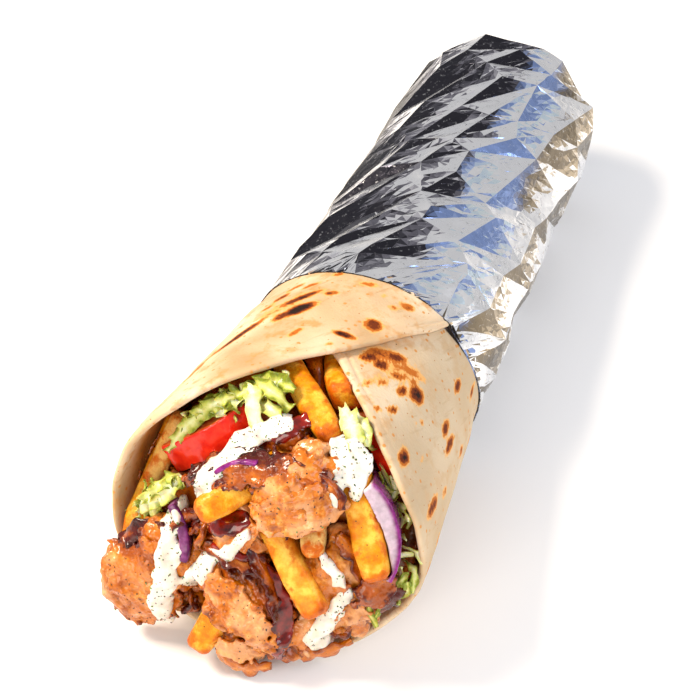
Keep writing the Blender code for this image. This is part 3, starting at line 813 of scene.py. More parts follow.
def painted_room_reflection(middle, fold, facet):
    """The painted reflection that each facet carries as its colour: the part of the room it would
    mirror, from the way it and its fold face.
    """
    a, m = middle.T
    turn = a / FOIL_RADIUS
    faces_at = np.degrees(np.arctan2(fold[:, 0], fold[:, 2]))
    faces_at = FOLD_SAYS * faces_at + (1 - FOLD_SAYS) * np.degrees(turn)
    round_way = np.stack([np.cos(turn), 0 * a, -np.sin(turn)], axis=-1)
    across = round_way * math.cos(FOLD_SLANT) - np.array([0, math.sin(FOLD_SLANT), 0])
    tip = -(facet * across).sum(axis=1)
    drift = lumps(np.stack([a, m, 0 * a], axis=-1), 16.0, 2.0)
    tip += 0.05 * drift + 0.03 * foil_rng.normal(0, 1, len(tip))
    # Facets that tip one way across their fold carry painted shade, and those that tip the other
    # way a painted white highlight.
    dark, bright, white = np.quantile(tip, DARK_TO_WHITE)
    is_dark = 1 - soft_step(tip, 2 * dark - bright, bright)[:, None]
    is_white = soft_step(tip, bright, white)[:, None]
    fields = {}
    for name, codes in SHADES.items():
        low, mid, high = (np.array(colour(code)[:3]) for code in codes)
        tone = mid + (low - mid) * is_dark
        fields[name] = tone + (high - tone) * is_white
    sky = soft_step(faces_at, SKY_FROM - 1.5, SKY_FROM + 1.5)[:, None]
    table_from = TABLE_FROM - 0.1 * m + 6 * drift
    table = soft_step(faces_at, table_from - 5, table_from + 5)[:, None]
    left = soft_step(-faces_at, LEFT_TABLE_FROM - 8, LEFT_TABLE_FROM + 12)[:, None]
    left *= LEFT_TABLE_SHOWS
    mixed = fields["charcoal"] * (1 - sky) + fields["sky"] * sky
    mixed = mixed * (1 - table) + fields["table"] * table
    mixed = mixed * (1 - left) + fields["table"] * LEFT_TABLE_SHOWS * left
    return np.minimum(BRIGHTENED * mixed, 1)


def rolled_aluminium():
    """Mirror metal coloured with its facet's painted reflection, with painted glints and painted
    shade along the crinkle, which also bumps it, and a little dust that varies its roughness.
    """
    material, tree, place = new_finish("rolled aluminium foil")
    tint = (add(tree, "Attribute", {"attribute_name": "mirrored"}), "Color")
    crinkle = add(tree, "TexNoise", Vector=place, Scale=per_metre(1.2), Detail=4, Roughness=0.6)
    dust = add(tree, "TexNoise", Vector=place, Scale=per_metre(5), Detail=3)
    sheen = add(tree, "MapRange", Value=dust, From_Min=0.3, From_Max=0.7, To_Min=0.2,
                To_Max=0.36)
    # Painted glints where the crinkle is high, and painted shade where it is low.
    tone = stain(tree, tint, "ffffff", crinkle, 0.6, 0.7, 0.35)
    tone = stain(tree, tone, "45444a", crinkle, 0.4, 0.3, 0.35)
    cover(tree, Base_Color=tone, Metallic=1.0, Roughness=sheen,
          Normal=add(tree, "Bump", Height=crinkle, Distance=0.08 * MM))
    return material


FOIL = rolled_aluminium()
print("tones for the foil:", ", ".join(SHADES))

# %% [markdown]
# ## The foil, laid on the bread
#
# Foil is squeezed on by hand, so at its torn edge it lies on the bread with no gap. Rays from
# outside find the bread under each point there, and the foil is drawn in until it just clears
# it. A lining under the foil, joined on along the torn edge, gives the sleeve a thickness. Only
# some thin slivers stay open, along the torn edge, the seam underneath and the end's middle.
# The sleeve is shaded flat, because a crease is sharp.

# %% The foil, laid on the bread
PROBE_FROM = 8.0
DRAWN_IN = 16.0
FOIL_GAP = 0.45
HEM_LIP = 0.28
# How far behind the torn edge each row of the lining lies, and how far in all but the first.
HEM_AT = (0.0, 1.5, 4.0, 9.0, 18.0, 34.0, 60.0, 90.0)
HEM_IN = (0.8, 1.9, 2.9, 3.6, 3.8, 4.0, 4.0)


def axis_height(y):
    """How high the roll's axis lies at each place along it."""
    return smooth_curve(HALF_WIDTHS, y) * HEIGHT_RATIO - REST_SINK


def out_of_roll(places):
    """The way straight out from the roll's axis at each place."""
    height = axis_height(places[..., 1])
    way = np.stack([places[..., 0], 0 * height, places[..., 2] - height], axis=-1)
    return way / np.linalg.norm(way, axis=-1)[..., None]


def drawn_in(places, m):
    """Foil points drawn in near the torn edge, where the foil lies on the flatbread."""
    bread = BVHTree.FromPolygons(BREAD_POINTS.tolist(), [tuple(face) for face in BREAD_FACES])
    out_way = out_of_roll(places)
    slack = np.zeros(m.shape)
    starts = places + PROBE_FROM * out_way
    for spot in zip(*np.nonzero((m < DRAWN_IN) & (out_way[..., 2] > -0.6))):
        far = bread.ray_cast(Vector(starts[spot]), Vector(-out_way[spot]))[3]
        slack[spot] = 0.0 if far is None else far - PROBE_FROM - FOIL_GAP
    slack *= np.where(slack > 0, 1 - soft_step(m, 0, DRAWN_IN), 1.0)
    return places - out_way * slack[..., None]


def foil_lining(places, edge):
    """Rows of points under the foil, from its torn edge back."""
    hem_a, hem_m = np.meshgrid(FOIL_SPOTS[edge, 0], HEM_AT)
    hem = drawn_in(foil_place(hem_a, hem_m, FOIL_STAND_OFF), hem_m)
    out_way = out_of_roll(hem)
    hem[0] = places[edge] - HEM_LIP * out_way[0]
    hem[1:] -= np.array(HEM_IN)[:, None, None] * out_way[1:]
    hem[..., 2] = np.maximum(hem[..., 2], 0.3)
    return hem


def foil_wrap():
    """The sleeve: its crumpled facets, its lining, and the painted reflection that each facet
    carries.
    """
    a, m = FOIL_SPOTS.T
    places, count = drawn_in(FOIL_PLACES, m), len(FOIL_SPOTS)
    ring = np.stack([np.cos(a / FOIL_RADIUS), np.sin(a / FOIL_RADIUS), 0 * a], axis=-1)
    tear = 0.9 * lumps(ring, 0.5, 1.0) + 0.3 * lumps(ring, 0.12, 6.0)
    places[:, 1] = np.minimum(places[:, 1] + tear * np.exp(-m / 3.0), FOIL_BACK + 0.5)
    places[:, 2] = np.maximum(places[:, 2], 0.02)
    edge = np.flatnonzero(m < 0.01)
    edge = edge[np.argsort(a[edge])][:-1]
    hem = foil_lining(places, edge)
    rows, columns = hem.shape[:2]
    end = count + rows * columns
    last = end - columns
    end_point = (0, hem[-1, 0, 1] + 4, axis_height(hem[-1, :1, 1])[0])
    everything = np.concatenate([places, hem.reshape(-1, 3), [end_point]])
    around = [(c, (c + 1) % columns) for c in range(columns)]
    faces = FOIL_FACETS.tolist() + grid_quads(rows, columns, count, True)
    faces += [(last + after, last + c, end) for c, after in around]
    faces += [(edge[c], count + c, count + after, edge[after]) for c, after in around]
    middle = FOIL_SPOTS[FOIL_FACETS].mean(axis=1)
    shades = np.ones((len(faces), 4), np.float32)
    shades[:, :3] = colour("57565e")[:3]
    # Each facet's colour is its painted reflection.
    shades[:len(FOIL_FACETS), :3] = painted_room_reflection(middle, FOIL_FOLD,
                                                  facing(FOIL_PLACES, FOIL_FACETS))
    mesh = bpy.data.meshes.new("foil_sleeve")
    mesh.from_pydata((everything * MM).tolist(), [], faces)
    made = mesh.attributes.new("mirrored", "FLOAT_COLOR", "FACE")
    made.data.foreach_set("color", shades.ravel())
    mend(mesh)
    return make_piece("foil_sleeve", mesh, FOIL, "foil", "foil_wrap", flat=True)


foil_wrap()

# %% [markdown]
# ## Finer copies of the plain solids
#
# The fries, shavings and vegetables are right in place and size, but coarse. A voxel remesh
# covers a copy of the solid with an even net of small squares, on which real relief can be
# modelled. The frame's own solids stay as they are.

# %% Finer copies of the plain solids
def even_net(name, mesh, cell_mm):
    """A mesh of the same shape, remade as an even net of squares cell_mm wide."""
    thing = bpy.data.objects.new(name, mesh)
    bpy.context.scene.collection.objects.link(thing)
    net = thing.modifiers.new("net", "REMESH")
    net.mode = "VOXEL"
    net.voxel_size = cell_mm * MM
    graph = bpy.context.evaluated_depsgraph_get()
    remade = bpy.data.meshes.new_from_object(thing.evaluated_get(graph))
    bpy.data.objects.remove(thing)
    remade.name = name
    return remade


def finer(node, cell_mm):
    """A copy of a plain solid's mesh as an even net."""
    return even_net(node, NODES[node].data.copy(), cell_mm)


trial = finer("fry_1", 1.0)
print("at 1 mm the first fry has a net of", len(trial.vertices), "points")
bpy.data.meshes.remove(trial)

# %% [markdown]
# ## Evening out, and finding edges
#
# When each point of a net takes the mean of its neighbours, corners are rounded. The distance
# that a point moved says how far it stood proud, which finds the rims and edges, where food
# browns and frays first.

# %% Evening out, and finding edges
def spread(values, mesh, steps):
    """Evens values out over the mesh: each point takes its neighbours' mean, steps times."""
    ends = np.empty(len(mesh.edges) * 2, np.int32)
    mesh.edges.foreach_get("vertices", ends)
    a, b = ends.reshape(-1, 2).T
    count = len(mesh.vertices)
    degree = np.bincount(a, minlength=count) + np.bincount(b, minlength=count)
    values = np.asarray(values, float)
    table = values.reshape(count, -1)
    for _ in range(steps):
        total = [np.bincount(a, column[b], count) + np.bincount(b, column[a], count)
                 for column in table.T]
        table = 0.5 * table + 0.5 * np.stack(total, axis=-1) / degree[:, None]
    return table.reshape(values.shape)


def soften(mesh, steps):
    """Rounds the mesh's corners, and swells it back by what the rounding took off."""
    points = points_of(mesh)
    moved = spread(points, mesh, steps)
    move_points(mesh, moved)
    loss = ((points - moved) * normals_of(mesh)).sum(axis=1).mean()
    move_points(mesh, moved + normals_of(mesh) * loss)


def bulge(mesh, steps):
    """How far each point stands proud of its surroundings, in mm: edges are high."""
    points = points_of(mesh)
    return ((points - spread(points, mesh, steps)) * normals_of(mesh)).sum(axis=1)


def long_axes(points):
    """The piece's own axes: along it, across it and through it."""
    _, _, axes = np.linalg.svd(points - points.mean(axis=0), full_matrices=False)
    return axes


print("a box of 9 by 2 by 1 lies along", long_axes(np.array(
    [(x, y, z) for x in (0, 9) for y in (0, 2) for z in (0, 1)], float))[0].round(2))

# %% [markdown]
# ## Fries
#
# A fry is a potato stick, cut square and fried twice. Its faces are pale gold and slightly
# dimpled, its edges and ends are browner, because they crisp first, and a thin film of fat
# makes it shine. The plain stick's edges are rounded by evening out the net, and the mesh
# carries how far each point stands proud, which is where the finish browns it.

# %% Fries
FRY_CELL = 0.52
# How pale the fries are that were fried less, from 0 to 1.
PALE_FRIES = {"fry_9": 0.9, "fry_8": 0.55, "fry_6": 0.12, "fry_4": 0.15}


def fried_potato():
    """Gold crust that is browner where the stick stands proud, with specks of spice."""
    material, tree, place = new_finish("twice fried potato")
    patch = add(tree, "TexNoise", Vector=place, Scale=per_metre(5), Detail=4, Roughness=0.6)
    blotch = add(tree, "TexNoise", Vector=place, Scale=per_metre(3.2), Detail=4, Roughness=0.65)
    brown = add(tree, "Math", {"operation": "MULTIPLY_ADD"}, _0=carried(tree, "proud"),
                _1=0.5, _2=blotch)
    crust = add(tree, "ValToRGB", Fac=patch,
                stops=[(0.32, "cc6e02"), (0.47, "de8e0a"), (0.62, "eeb642")])
    crust = stain(tree, crust, "ecc878", carried(tree, "pale"), 0.0, 1.0)
    crust = stain(tree, crust, "c96208", brown, 0.55, 0.82)
    crust = stain(tree, crust, "943a06", brown, 0.82, 1.1)
    crust = pepper(tree, crust, "8a4a10", place, 2.6, 0.4, 0.1)
    crust = pepper(tree, crust, "2b1a0a", place, 5.2, 0.45, 0.5)
    rough = add(tree, "TexNoise", Vector=place, Scale=per_metre(1.1), Detail=4, Roughness=0.6)
    food(tree, crust, 0.42, add(tree, "Bump", Height=rough, Distance=0.4 * MM), 0.08, 0.1, 1.2)
    return material


FRIES = fried_potato()


def fry(node):
    """One fry: rounded and dimpled, and brown on its edges and ends."""
    mesh = finer(node, FRY_CELL)
    soften(mesh, 5)
    proud = np.clip(bulge(mesh, 14) / 0.55, -0.3, 1.6)
    points = points_of(mesh)
    seed = float(node[-1])
    push_out(mesh, points, 0.22 * lumps(points, 5.0, seed) + 0.1 * lumps(points, 1.8, seed + 3))
    along = (points - points.mean(axis=0)) @ long_axes(points)[0]
    ends = soft_step(np.abs(along), 0.40 * np.ptp(along), 0.5 * np.ptp(along))
    carry(mesh, "proud", proud + 0.35 * ends)
    carry(mesh, "pale", np.full(len(points), PALE_FRIES.get(node, 0.0)))
    return make_piece(node + "_crisp", mesh, FRIES, "fried_potato", node)


for node in sorted(name for name in NODES if name.startswith("fry_")):
    fry(node)

# %% [markdown]
# ## Meat off the spit
#
# Gyro meat is shaved in ragged slices from a turning spit. It tears along its fibres, its thin
# edges frill and char, and fat and juice leave it glistening. The finish goes from pale fat
# through roast brown to black, as the mesh's own char and the patches of the meat add up, and
# painted shade darkens its hollows and grooves. This step says how each slice was roasted, and
# where the fire caught the pile.

# %% Meat off the spit
# How charred and how pale each slice is, from 0 to 1, and how strongly it is ridged.
SLICES = {
    "meat_1": (0.8, 0.0, 0.6), "meat_2": (0.75, 0.05, 1.0), "meat_3": (0.25, 0.5, 0.35),
    "meat_4": (0.1, 0.7, 0.7), "meat_5": (0.35, 0.5, 0.8), "meat_6": (0.5, 0.15, 1.4),
    "meat_7": (0.15, 0.5, 1.1), "meat_8": (0.2, 0.7, 0.6), "meat_9": (0.25, 0.4, 1.2),
    "meat_10": (0.9, 0.0, 0.9), "meat_11": (0.4, 0.2, 1.2), "meat_12": (0.2, 0.5, 1.2),
    "meat_13": (0.4, 0.2, 0.7), "meat_14": (0.3, 0.35, 1.0),
}
# Places that sat against the fire: a line from one point to another, and how wide it is.
CHARRED = [
    ((-20, -99, 58), (-7, -95, 67), 4.0), ((-7, -95, 67), (17, -94, 67), 4.0),
    ((-37, -106, 34), (-30, -108, 33), 5.5), ((-36, -108, 28), (-35, -110, 22), 2.0),
    ((-10, -106, 38), (-2, -108, 35), 3.5), ((2, -107, 39), (11, -112, 12), 4.5),
    ((28, -99, 37), (38, -98, 31), 5.0), ((-4, -88, 67), (7, -84, 71), 2.5),
    ((20, -98, 52), (27, -100, 44), 2.0),
]


def near_lines(points, lines):
    """1 on the nearest of some thick lines, falling to 0 at its edge."""
    best = np.zeros(len(points))
    for start, end, width in lines:
        start, way = np.array(start, float), np.array(end, float) - np.array(start, float)
        share = np.clip(((points - start) @ way) / (way @ way), 0, 1)
        gap = np.linalg.norm(points - start - share[:, None] * way, axis=1)
        best = np.maximum(best, 1 - soft_step(gap, 0.3 * width, 1.3 * width))
    return best


def roast_meat():
    """Mottled flesh, toasted and charred in patches, with painted shade in its hollows, glossy
    with fat.
    """
    material, tree, place = new_finish("spit roasted meat")
    blotch = add(tree, "TexNoise", Vector=place, Scale=per_metre(6.5), Detail=4, Roughness=0.6)
    mottle = add(tree, "TexNoise", Vector=place, Scale=per_metre(2.6), Detail=5, Roughness=0.6)
    web = add(tree, "TexVoronoi", {"feature": "DISTANCE_TO_EDGE"}, Vector=place,
              Scale=per_metre(1.5))
    toast = add(tree, "Math", {"operation": "MULTIPLY_ADD"}, _0=blotch, _1=1.5,
                _2=carried(tree, "char"))
    flesh = add(tree, "ValToRGB", Fac=mottle,
                stops=[(0.34, "8e3e04"), (0.52, "c26c12"), (0.68, "e6a04e")])
    flesh = stain(tree, flesh, "e4a872", carried(tree, "pale"), 0.1, 0.9, 0.65)
    flesh = stain(tree, flesh, "f2c48e", carried(tree, "strand"), 0.7, 1.15, 0.55)
    flesh = stain(tree, flesh, "c46806", toast, 0.7, 0.98, 0.75)
    flesh = stain(tree, flesh, "8c3a04", toast, 0.95, 1.25, 0.85)
    flesh = stain(tree, flesh, "4e1004", toast, 1.3, 1.55)
    flesh = stain(tree, flesh, "1e0603", toast, 1.66, 1.95, 0.8)
    # Painted shade in the grooves and hollows, where shadow falls.
    flesh = stain(tree, flesh, "743404", carried(tree, "hollow"), 0.15, 0.8, 0.85)
    flesh = pepper(tree, flesh, "140a06", place, 2.9, 0.6, 0.2)
    flesh = pepper(tree, flesh, "5e240c", place, 1.7, 0.35, 0.6)
    gloss = add(tree, "MapRange", Value=toast, From_Min=0.8, From_Max=1.6, To_Min=0.36,
                To_Max=0.18)
    bumps = add(tree, "Bump", Height=web, Distance=0.22 * MM)
    bumps = add(tree, "Bump", Height=mottle, Distance=0.5 * MM, Normal=bumps)
    food(tree, flesh, gloss, bumps, 0.6, 0.05, 1.0)
    return material


MEAT = roast_meat()
print("slices:", len(SLICES), "charred places:", len(CHARRED))

# %% [markdown]
# ## The shavings
#
# Each slice starts as an even net over its plain solid. Lumps, then ridges drawn out along the
# fibres, push the net in and out, and the rim, which the mesh knows because it stands proud, is
# pushed hardest, so it frays. Char gathers on the rim and where the fire was.

# %% The shavings
MEAT_CELL = 0.45
LOWEST_MEAT = 1.2


def grooves(points, size_mm, seed, squeeze=(1, 1, 1)):
    """Rounded bundles with sharp grooves between them, from 0 in a groove to about 1."""
    return np.minimum(2.4 * np.abs(lumps(points, size_mm, seed, squeeze)), 1.2)


def shaving(node):
    """One thick slice: ridged along its fibres, frayed at its rim, and charred in places."""
    char, pale, ridged = SLICES[node]
    mesh = finer(node, MEAT_CELL)
    soften(mesh, 4)
    points = points_of(mesh)
    seed = 3.7 * float(node.split("_")[1])
    rim = np.clip(spread(bulge(mesh, 30), mesh, 3) / 0.8, 0, 1.3)
    own = (points - points.mean(axis=0)) @ long_axes(points).T
    own += 1.6 * np.stack([lumps(points, 8.0, seed + turn) for turn in (9, 10, 11)], axis=-1)
    bundles = grooves(own, 4.8, seed, (0.2, 1, 1))
    strands = grooves(own, 2.0, seed + 4, (0.22, 1, 1))
    push = 0.9 * lumps(points, 7.0, seed) + ridged * (1.0 * bundles + 0.6 * strands - 0.7)
    push += 0.16 * grooves(points, 1.6, seed + 6) - 0.07
    push += rim * (1.7 * lumps(points, 3.0, seed + 2) + 0.7 * lumps(points, 1.3, seed + 5) + 0.2)
    moved = points + normals_of(mesh) * push[:, None]
    moved[:, 2] = np.maximum(moved[:, 2], LOWEST_MEAT)
    move_points(mesh, moved)
    fire = near_lines(moved, CHARRED)
    carry(mesh, "char", 0.45 * char + 0.55 * fire + (0.15 + 0.3 * char) * rim - 0.28 * pale)
    streaky = pale * (0.8 + 2.2 * lumps(points, 6.0, seed + 8))
    carry(mesh, "pale", np.clip(streaky - 0.6 * fire, 0, 1))
    # Painted shade in the grooves between bundles, and in hollows.
    groove_painted_shade = soft_step(0.3 - bundles, 0.0, 0.3) * min(ridged, 1)
    carry(mesh, "hollow", groove_painted_shade + np.clip(-bulge(mesh, 12) / 0.6, 0, 1))
    carry(mesh, "strand", strands * min(ridged, 1))
    return make_piece(node + "_shaved", mesh, MEAT, "roast_meat", node)


for node in SLICES:
    shaving(node)

# %% [markdown]
# ## The imported meat behind
#
# Behind the slices that show, the roll is packed with more of the same meat. Only its front
# shows, down the gaps, where it is in shade and wet with juice, so its colour is darker: it
# carries more char, and painted shade in its hollows and a little everywhere, and its lumps are
# the size of whole slices.

# %% The imported meat behind
PACKED_CELL = 1.4


def packed_meat():
    """The meat inside the roll: lumpy only in front, where it shows."""
    mesh = finer("meat_filling", PACKED_CELL)
    points = points_of(mesh)
    front = 1 - soft_step(points[:, 1], -75, -45)
    push_out(mesh, points,
             front * (1.1 * lumps(points, 6, 2.2) + 0.6 * lumps(points, 2.6, 4.4) - 0.6))
    carry(mesh, "char", 0.45 + 0.3 * lumps(points, 9, 8.8))
    carry(mesh, "pale", 0 * front)
    # Painted shade in its hollows, and a little everywhere, as it lies in shade.
    carry(mesh, "hollow", np.clip(-bulge(mesh, 5) / 0.6, 0, 1.2) + 0.3)
    return make_piece("packed_meat", mesh, MEAT, "roast_meat", "meat_filling")


packed_meat()

# %% [markdown]
# ## Tomato
#
# A tomato slice is glossy red skin round its rim and wet orange-red flesh on its two cut faces.
# The mesh says which is which: on the cut faces the surface looks along the slice's thin way.

# %% Tomato
TOMATO_CELL = 0.4


def ripe_tomato():
    """Red skin, orange flesh on the cut faces, and a lighter line where the two meet."""
    material, tree, place = new_finish("ripe tomato")
    pulp = add(tree, "TexNoise", Vector=place, Scale=per_metre(2.4), Detail=3)
    flesh = add(tree, "ValToRGB", Fac=pulp, stops=[(0.35, "e44a1a"), (0.68, "f88038")])
    skin = add(tree, "ValToRGB", Fac=pulp, stops=[(0.3, "e0180c"), (0.7, "fa3a1c")])
    tone = stain(tree, skin, flesh, carried(tree, "cut"), 0.45, 0.8)
    tone = stain(tree, tone, "ff9a6a", carried(tree, "rim"), 0.45, 1.0, 0.5)
    food(tree, tone, 0.2, add(tree, "Bump", Height=pulp, Distance=0.2 * MM), 0.5, 0.15, 1.5)
    return material


TOMATO = ripe_tomato()


def tomato(node):
    """One piece of tomato, which knows its cut faces and its rim."""
    mesh = finer(node, TOMATO_CELL)
    soften(mesh, 4)
    rim = np.clip(bulge(mesh, 14) / 0.6, 0, 1)
    points = points_of(mesh)
    through = long_axes(points)[2]
    cut = np.abs(normals_of(mesh) @ through)
    push_out(mesh, points, 0.25 * lumps(points, 4, 3.3))
    carry(mesh, "cut", cut)
    carry(mesh, "rim", rim)
    return make_piece(node + "_ripe", mesh, TOMATO, "tomato", node)


tomato("tomato_1")
tomato("tomato_2")

# %% [markdown]
# ## Red onion and red cabbage
#
# A red onion's layer is white and juicy, with purple skin on its outer side only, and a red
# cabbage shred is purple with a paler cut. How deep each point lies under the outer side
# decides its colour, so the skin is as thin as a real one wherever the piece is cut.

# %% Red onion and red cabbage
LAYER_CELL = 0.35


def purple_layer(name, flesh_low, flesh_high, skin_low, skin_high):
    """Juicy flesh under a purple skin, both with faint veins."""
    material, tree, place = new_finish(name)
    veins = add(tree, "TexNoise", Vector=place, Scale=per_metre(2.0), Detail=3)
    flesh = add(tree, "ValToRGB", Fac=veins, stops=[(0.35, flesh_low), (0.65, flesh_high)])
    skin = add(tree, "ValToRGB", Fac=veins, stops=[(0.35, skin_low), (0.65, skin_high)])
    tone = stain(tree, skin, flesh, carried(tree, "under"), 0.25, 1.0)
    food(tree, tone, 0.24, add(tree, "Bump", Height=veins, Distance=0.12 * MM), 0.4, 0.2, 2.0)
    return material


ONION = purple_layer("red onion", "d2c6ca", "e8e2e2", "5c0a4c", "8e2a80")
CABBAGE = purple_layer("red cabbage", "8f3a78", "b98ab0", "45063c", "6f1560")


def layer(node, stuff, slot_name, outer_way, skin_mm):
    """A piece with skin on the side that looks outer_way, skin_mm thick."""
    mesh = finer(node, LAYER_CELL)
    soften(mesh, 4)
    points = points_of(mesh)
    way = Vector(outer_way).normalized()
    tree = BVHTree.FromPolygons(points.tolist(), [tuple(p.vertices) for p in mesh.polygons])
    inner = points - 0.45 * normals_of(mesh)
    hits = (tree.ray_cast(Vector(p), way)[3] for p in inner.tolist())
    deep = np.array([hit or 0.0 for hit in hits])
    carry(mesh, "under", spread(deep / skin_mm, mesh, 2))
    push_out(mesh, points, 0.15 * lumps(points, 3, 1.7))
    return make_piece(node + "_cut", mesh, stuff, slot_name, node)


layer("onion_1", ONION, "red_onion", (1, 0, 0.15), 2.0)
layer("onion_2", ONION, "red_onion", (-0.4, -0.5, 0.8), 3.0)
layer("cabbage_1", CABBAGE, "red_cabbage", (1, -0.4, 0.5), 1.4)

# %% [markdown]
# ## Shredded lettuce
#
# Leaf lettuce has more edge than middle, so its edge ruffles, and a knife leaves it in curled
# ribbons. The rib in the middle is nearly white, and the green deepens towards the frill. The
# leaf is thin, so light comes through it, which is why its glow is strong.

# %% Shredded lettuce
def leaf_lettuce():
    """Pale rib to green frill, as green as the mesh says and a little veined."""
    material, tree, place = new_finish("shredded leaf lettuce")
    veins = add(tree, "TexNoise", Vector=place, Scale=per_metre(2.2), Detail=4, Roughness=0.6)
    green = add(tree, "Math", {"operation": "MULTIPLY_ADD"}, _0=veins, _1=0.7,
                _2=carried(tree, "green"))
    tone = add(tree, "ValToRGB", Fac=green, stops=[
        (0.35, "eeeac2"), (0.6, "dedb90"), (0.85, "b8bd50"), (1.0, "7a8624")])
    normal = add(tree, "Bump", Height=veins, Distance=0.25 * MM)
    food(tree, tone, 0.32, normal, 0.25, 0.35, 1.2)
    return material


LETTUCE = leaf_lettuce()
print("lettuce finish:", len(LETTUCE.node_tree.nodes), "nodes")

# %% [markdown]
# ## A frilled ribbon
#
# Each ribbon is a strip swept along a smooth line. Its edges wander in and out, and wave up and
# down more than its middle, with the two sides out of step. It is a real half millimetre thick,
# with both faces and its cut edges, so that it closes like a real leaf. The same ribbon, made
# thicker, serves for frayed meat.

# %% A frilled ribbon
RIBBON_STEP = 0.5
LANES = 13
# The left and the right frill are this many radians out of step.
OUT_OF_STEP = 1.9


def smooth_line(knots, step):
    """Points every step mm or so along a smooth line through the knots."""
    knots = np.array(knots, float)
    gaps = np.linalg.norm(np.diff(knots, axis=0), axis=1)
    reach = np.concatenate([[0], np.cumsum(gaps)])
    count = max(int(reach[-1] / step), 6)
    at = np.linspace(0, reach[-1], count)
    return np.stack([smooth_curve(np.stack([reach, column], axis=-1), at)
                     for column in knots.T], axis=-1)


def ribbon(knots, width, facing, frill, twist, green, seed, thick=0.42, wave_mm=4.4):
    """One frilled strip: its points, its faces and how green, or charred, each point is."""
    line = smooth_line(knots, RIBBON_STEP)
    count = len(line)
    way = np.gradient(line, axis=0)
    way /= np.linalg.norm(way, axis=1)[:, None]
    side = np.cross(way, np.array(facing, float))
    side /= np.linalg.norm(side, axis=1)[:, None] + 1e-9
    up = np.cross(side, way)
    turn = np.radians(np.linspace(twist[0], twist[1], count))[:, None]
    side, up = side * np.cos(turn) + up * np.sin(turn), up * np.cos(turn) - side * np.sin(turn)
    v = np.linspace(-1, 1, LANES)
    s = (np.arange(count) * RIBBON_STEP)[:, None]
    ragged = np.array([[noise.noise((i * 0.16, lane * 9.0, seed)) for lane in (0, 1)]
                       for i in range(count)])
    ends = np.sin(np.linspace(0.12, math.pi - 0.12, count)) ** 0.45
    half = width / 2 * (0.85 + 0.6 * ragged) * ends[:, None]
    reach = np.where(v < 0, half[:, :1], half[:, 1:]) * v
    phase = 5 * np.array([noise.noise((i * 0.05, 3.0, seed)) for i in range(count)])[:, None]
    outer = np.abs(v) ** 1.6
    opposite = np.where(v < 0, OUT_OF_STEP, 0.0)
    wave = frill * outer * np.sin(2 * math.pi * s / wave_mm + phase + opposite)
    wave += 0.35 * frill * outer * np.sin(4.2 * math.pi * s / wave_mm + 2 * phase + opposite)
    wave += 0.25 * np.array([[noise.noise((i * 0.12, j * 0.4, seed + 5)) for j in range(LANES)]
                             for i in range(count)])
    middle = line[:, None] + side[:, None] * reach[..., None] + up[:, None] * wave[..., None]
    along, across = np.gradient(middle, axis=0), np.gradient(middle, axis=1)
    facing_out = np.cross(along, across)
    facing_out /= np.linalg.norm(facing_out, axis=-1)[..., None] + 1e-9
    thin = thick / 2 * (1 - 0.6 * outer[:, None])
    top, under = middle + facing_out * thin, middle - facing_out * thin
    loop = np.concatenate([top, under[:, ::-1]], axis=1)
    faces = grid_quads(count, 2 * LANES, closed=True)
    for first in (0, (count - 1) * 2 * LANES):
        last = first + 2 * LANES - 1
        for lane in range(LANES - 1):
            quad = (first + lane, first + lane + 1, last - lane - 1, last - lane)
            faces.append(quad if first else quad[::-1])
    tint = np.clip(green + 0.45 * (np.abs(v) - 0.5) + 0.3 * ragged[:, :1], 0, 1)
    tint = np.concatenate([tint, tint[:, ::-1]], axis=1)
    return loop.reshape(-1, 3), faces, tint.ravel()


print("a straight ribbon has", len(ribbon([(0, 0, 0), (5, 0, 0), (10, 0, 0)], 5, (0, 0, 1), 1,
                                          (0, 0), 0.5, 1)[0]), "points")

# %% [markdown]
# ## Bunches of lettuce
#
# A few long ribbons lie where the big curls are, and short shreds with random bends fill the
# bunch out. Their places come from a seeded generator, so they fall the same way each time. One
# mesh holds the whole bunch, which takes the place of its plain solid.

# %% Bunches of lettuce
LOWEST_SHRED = 1.0


def join(strips):
    """Many strips as one mesh's points, faces and values."""
    points, faces, values, first = [], [], [], 0
    for strip_points, strip_faces, strip_values in strips:
        points.append(strip_points)
        values.append(strip_values)
        faces += [tuple(corner + first for corner in face) for face in strip_faces]
        first += len(strip_points)
    return np.concatenate(points), faces, np.concatenate(values)


def shreds(start, end, count, spread_mm, length, width, seed, green=0.35, lean=(0, 0, 1),
           thick=0.42):
    """Short curled shreds strewn along a line from start to end."""
    draw = np.random.default_rng(seed)
    start, end = np.array(start, float), np.array(end, float)
    strips = []
    for number in range(count):
        centre = start + (end - start) * draw.uniform() + draw.uniform(-1, 1, 3) * spread_mm
        way = np.array(lean, float) + draw.normal(0, 0.75, 3)
        way /= np.linalg.norm(way)
        long = draw.uniform(0.7, 1.3) * length
        bend = np.cross(way, draw.normal(0, 1, 3))
        bend *= 0.22 * long / (np.linalg.norm(bend) + 1e-9)
        knots = [centre - way * long / 2, centre + bend, centre + way * long / 2]
        strips.append(ribbon(knots, width * draw.uniform(0.6, 1.3), draw.normal(0, 1, 3),
                             width * draw.uniform(0.12, 0.3), (0, draw.uniform(-90, 90)),
                             green + draw.uniform(-0.25, 0.25), seed + number * 1.7, thick))
    return strips


def lettuce(name, node, strips):
    """A bunch of ribbons and shreds in place of one plain solid."""
    points, faces, green = join(strips)
    points[:, 2] = np.maximum(points[:, 2], LOWEST_SHRED)
    mesh = make_mesh(name, points, faces, green=green)
    return make_piece(name, mesh, LETTUCE, "lettuce", node)


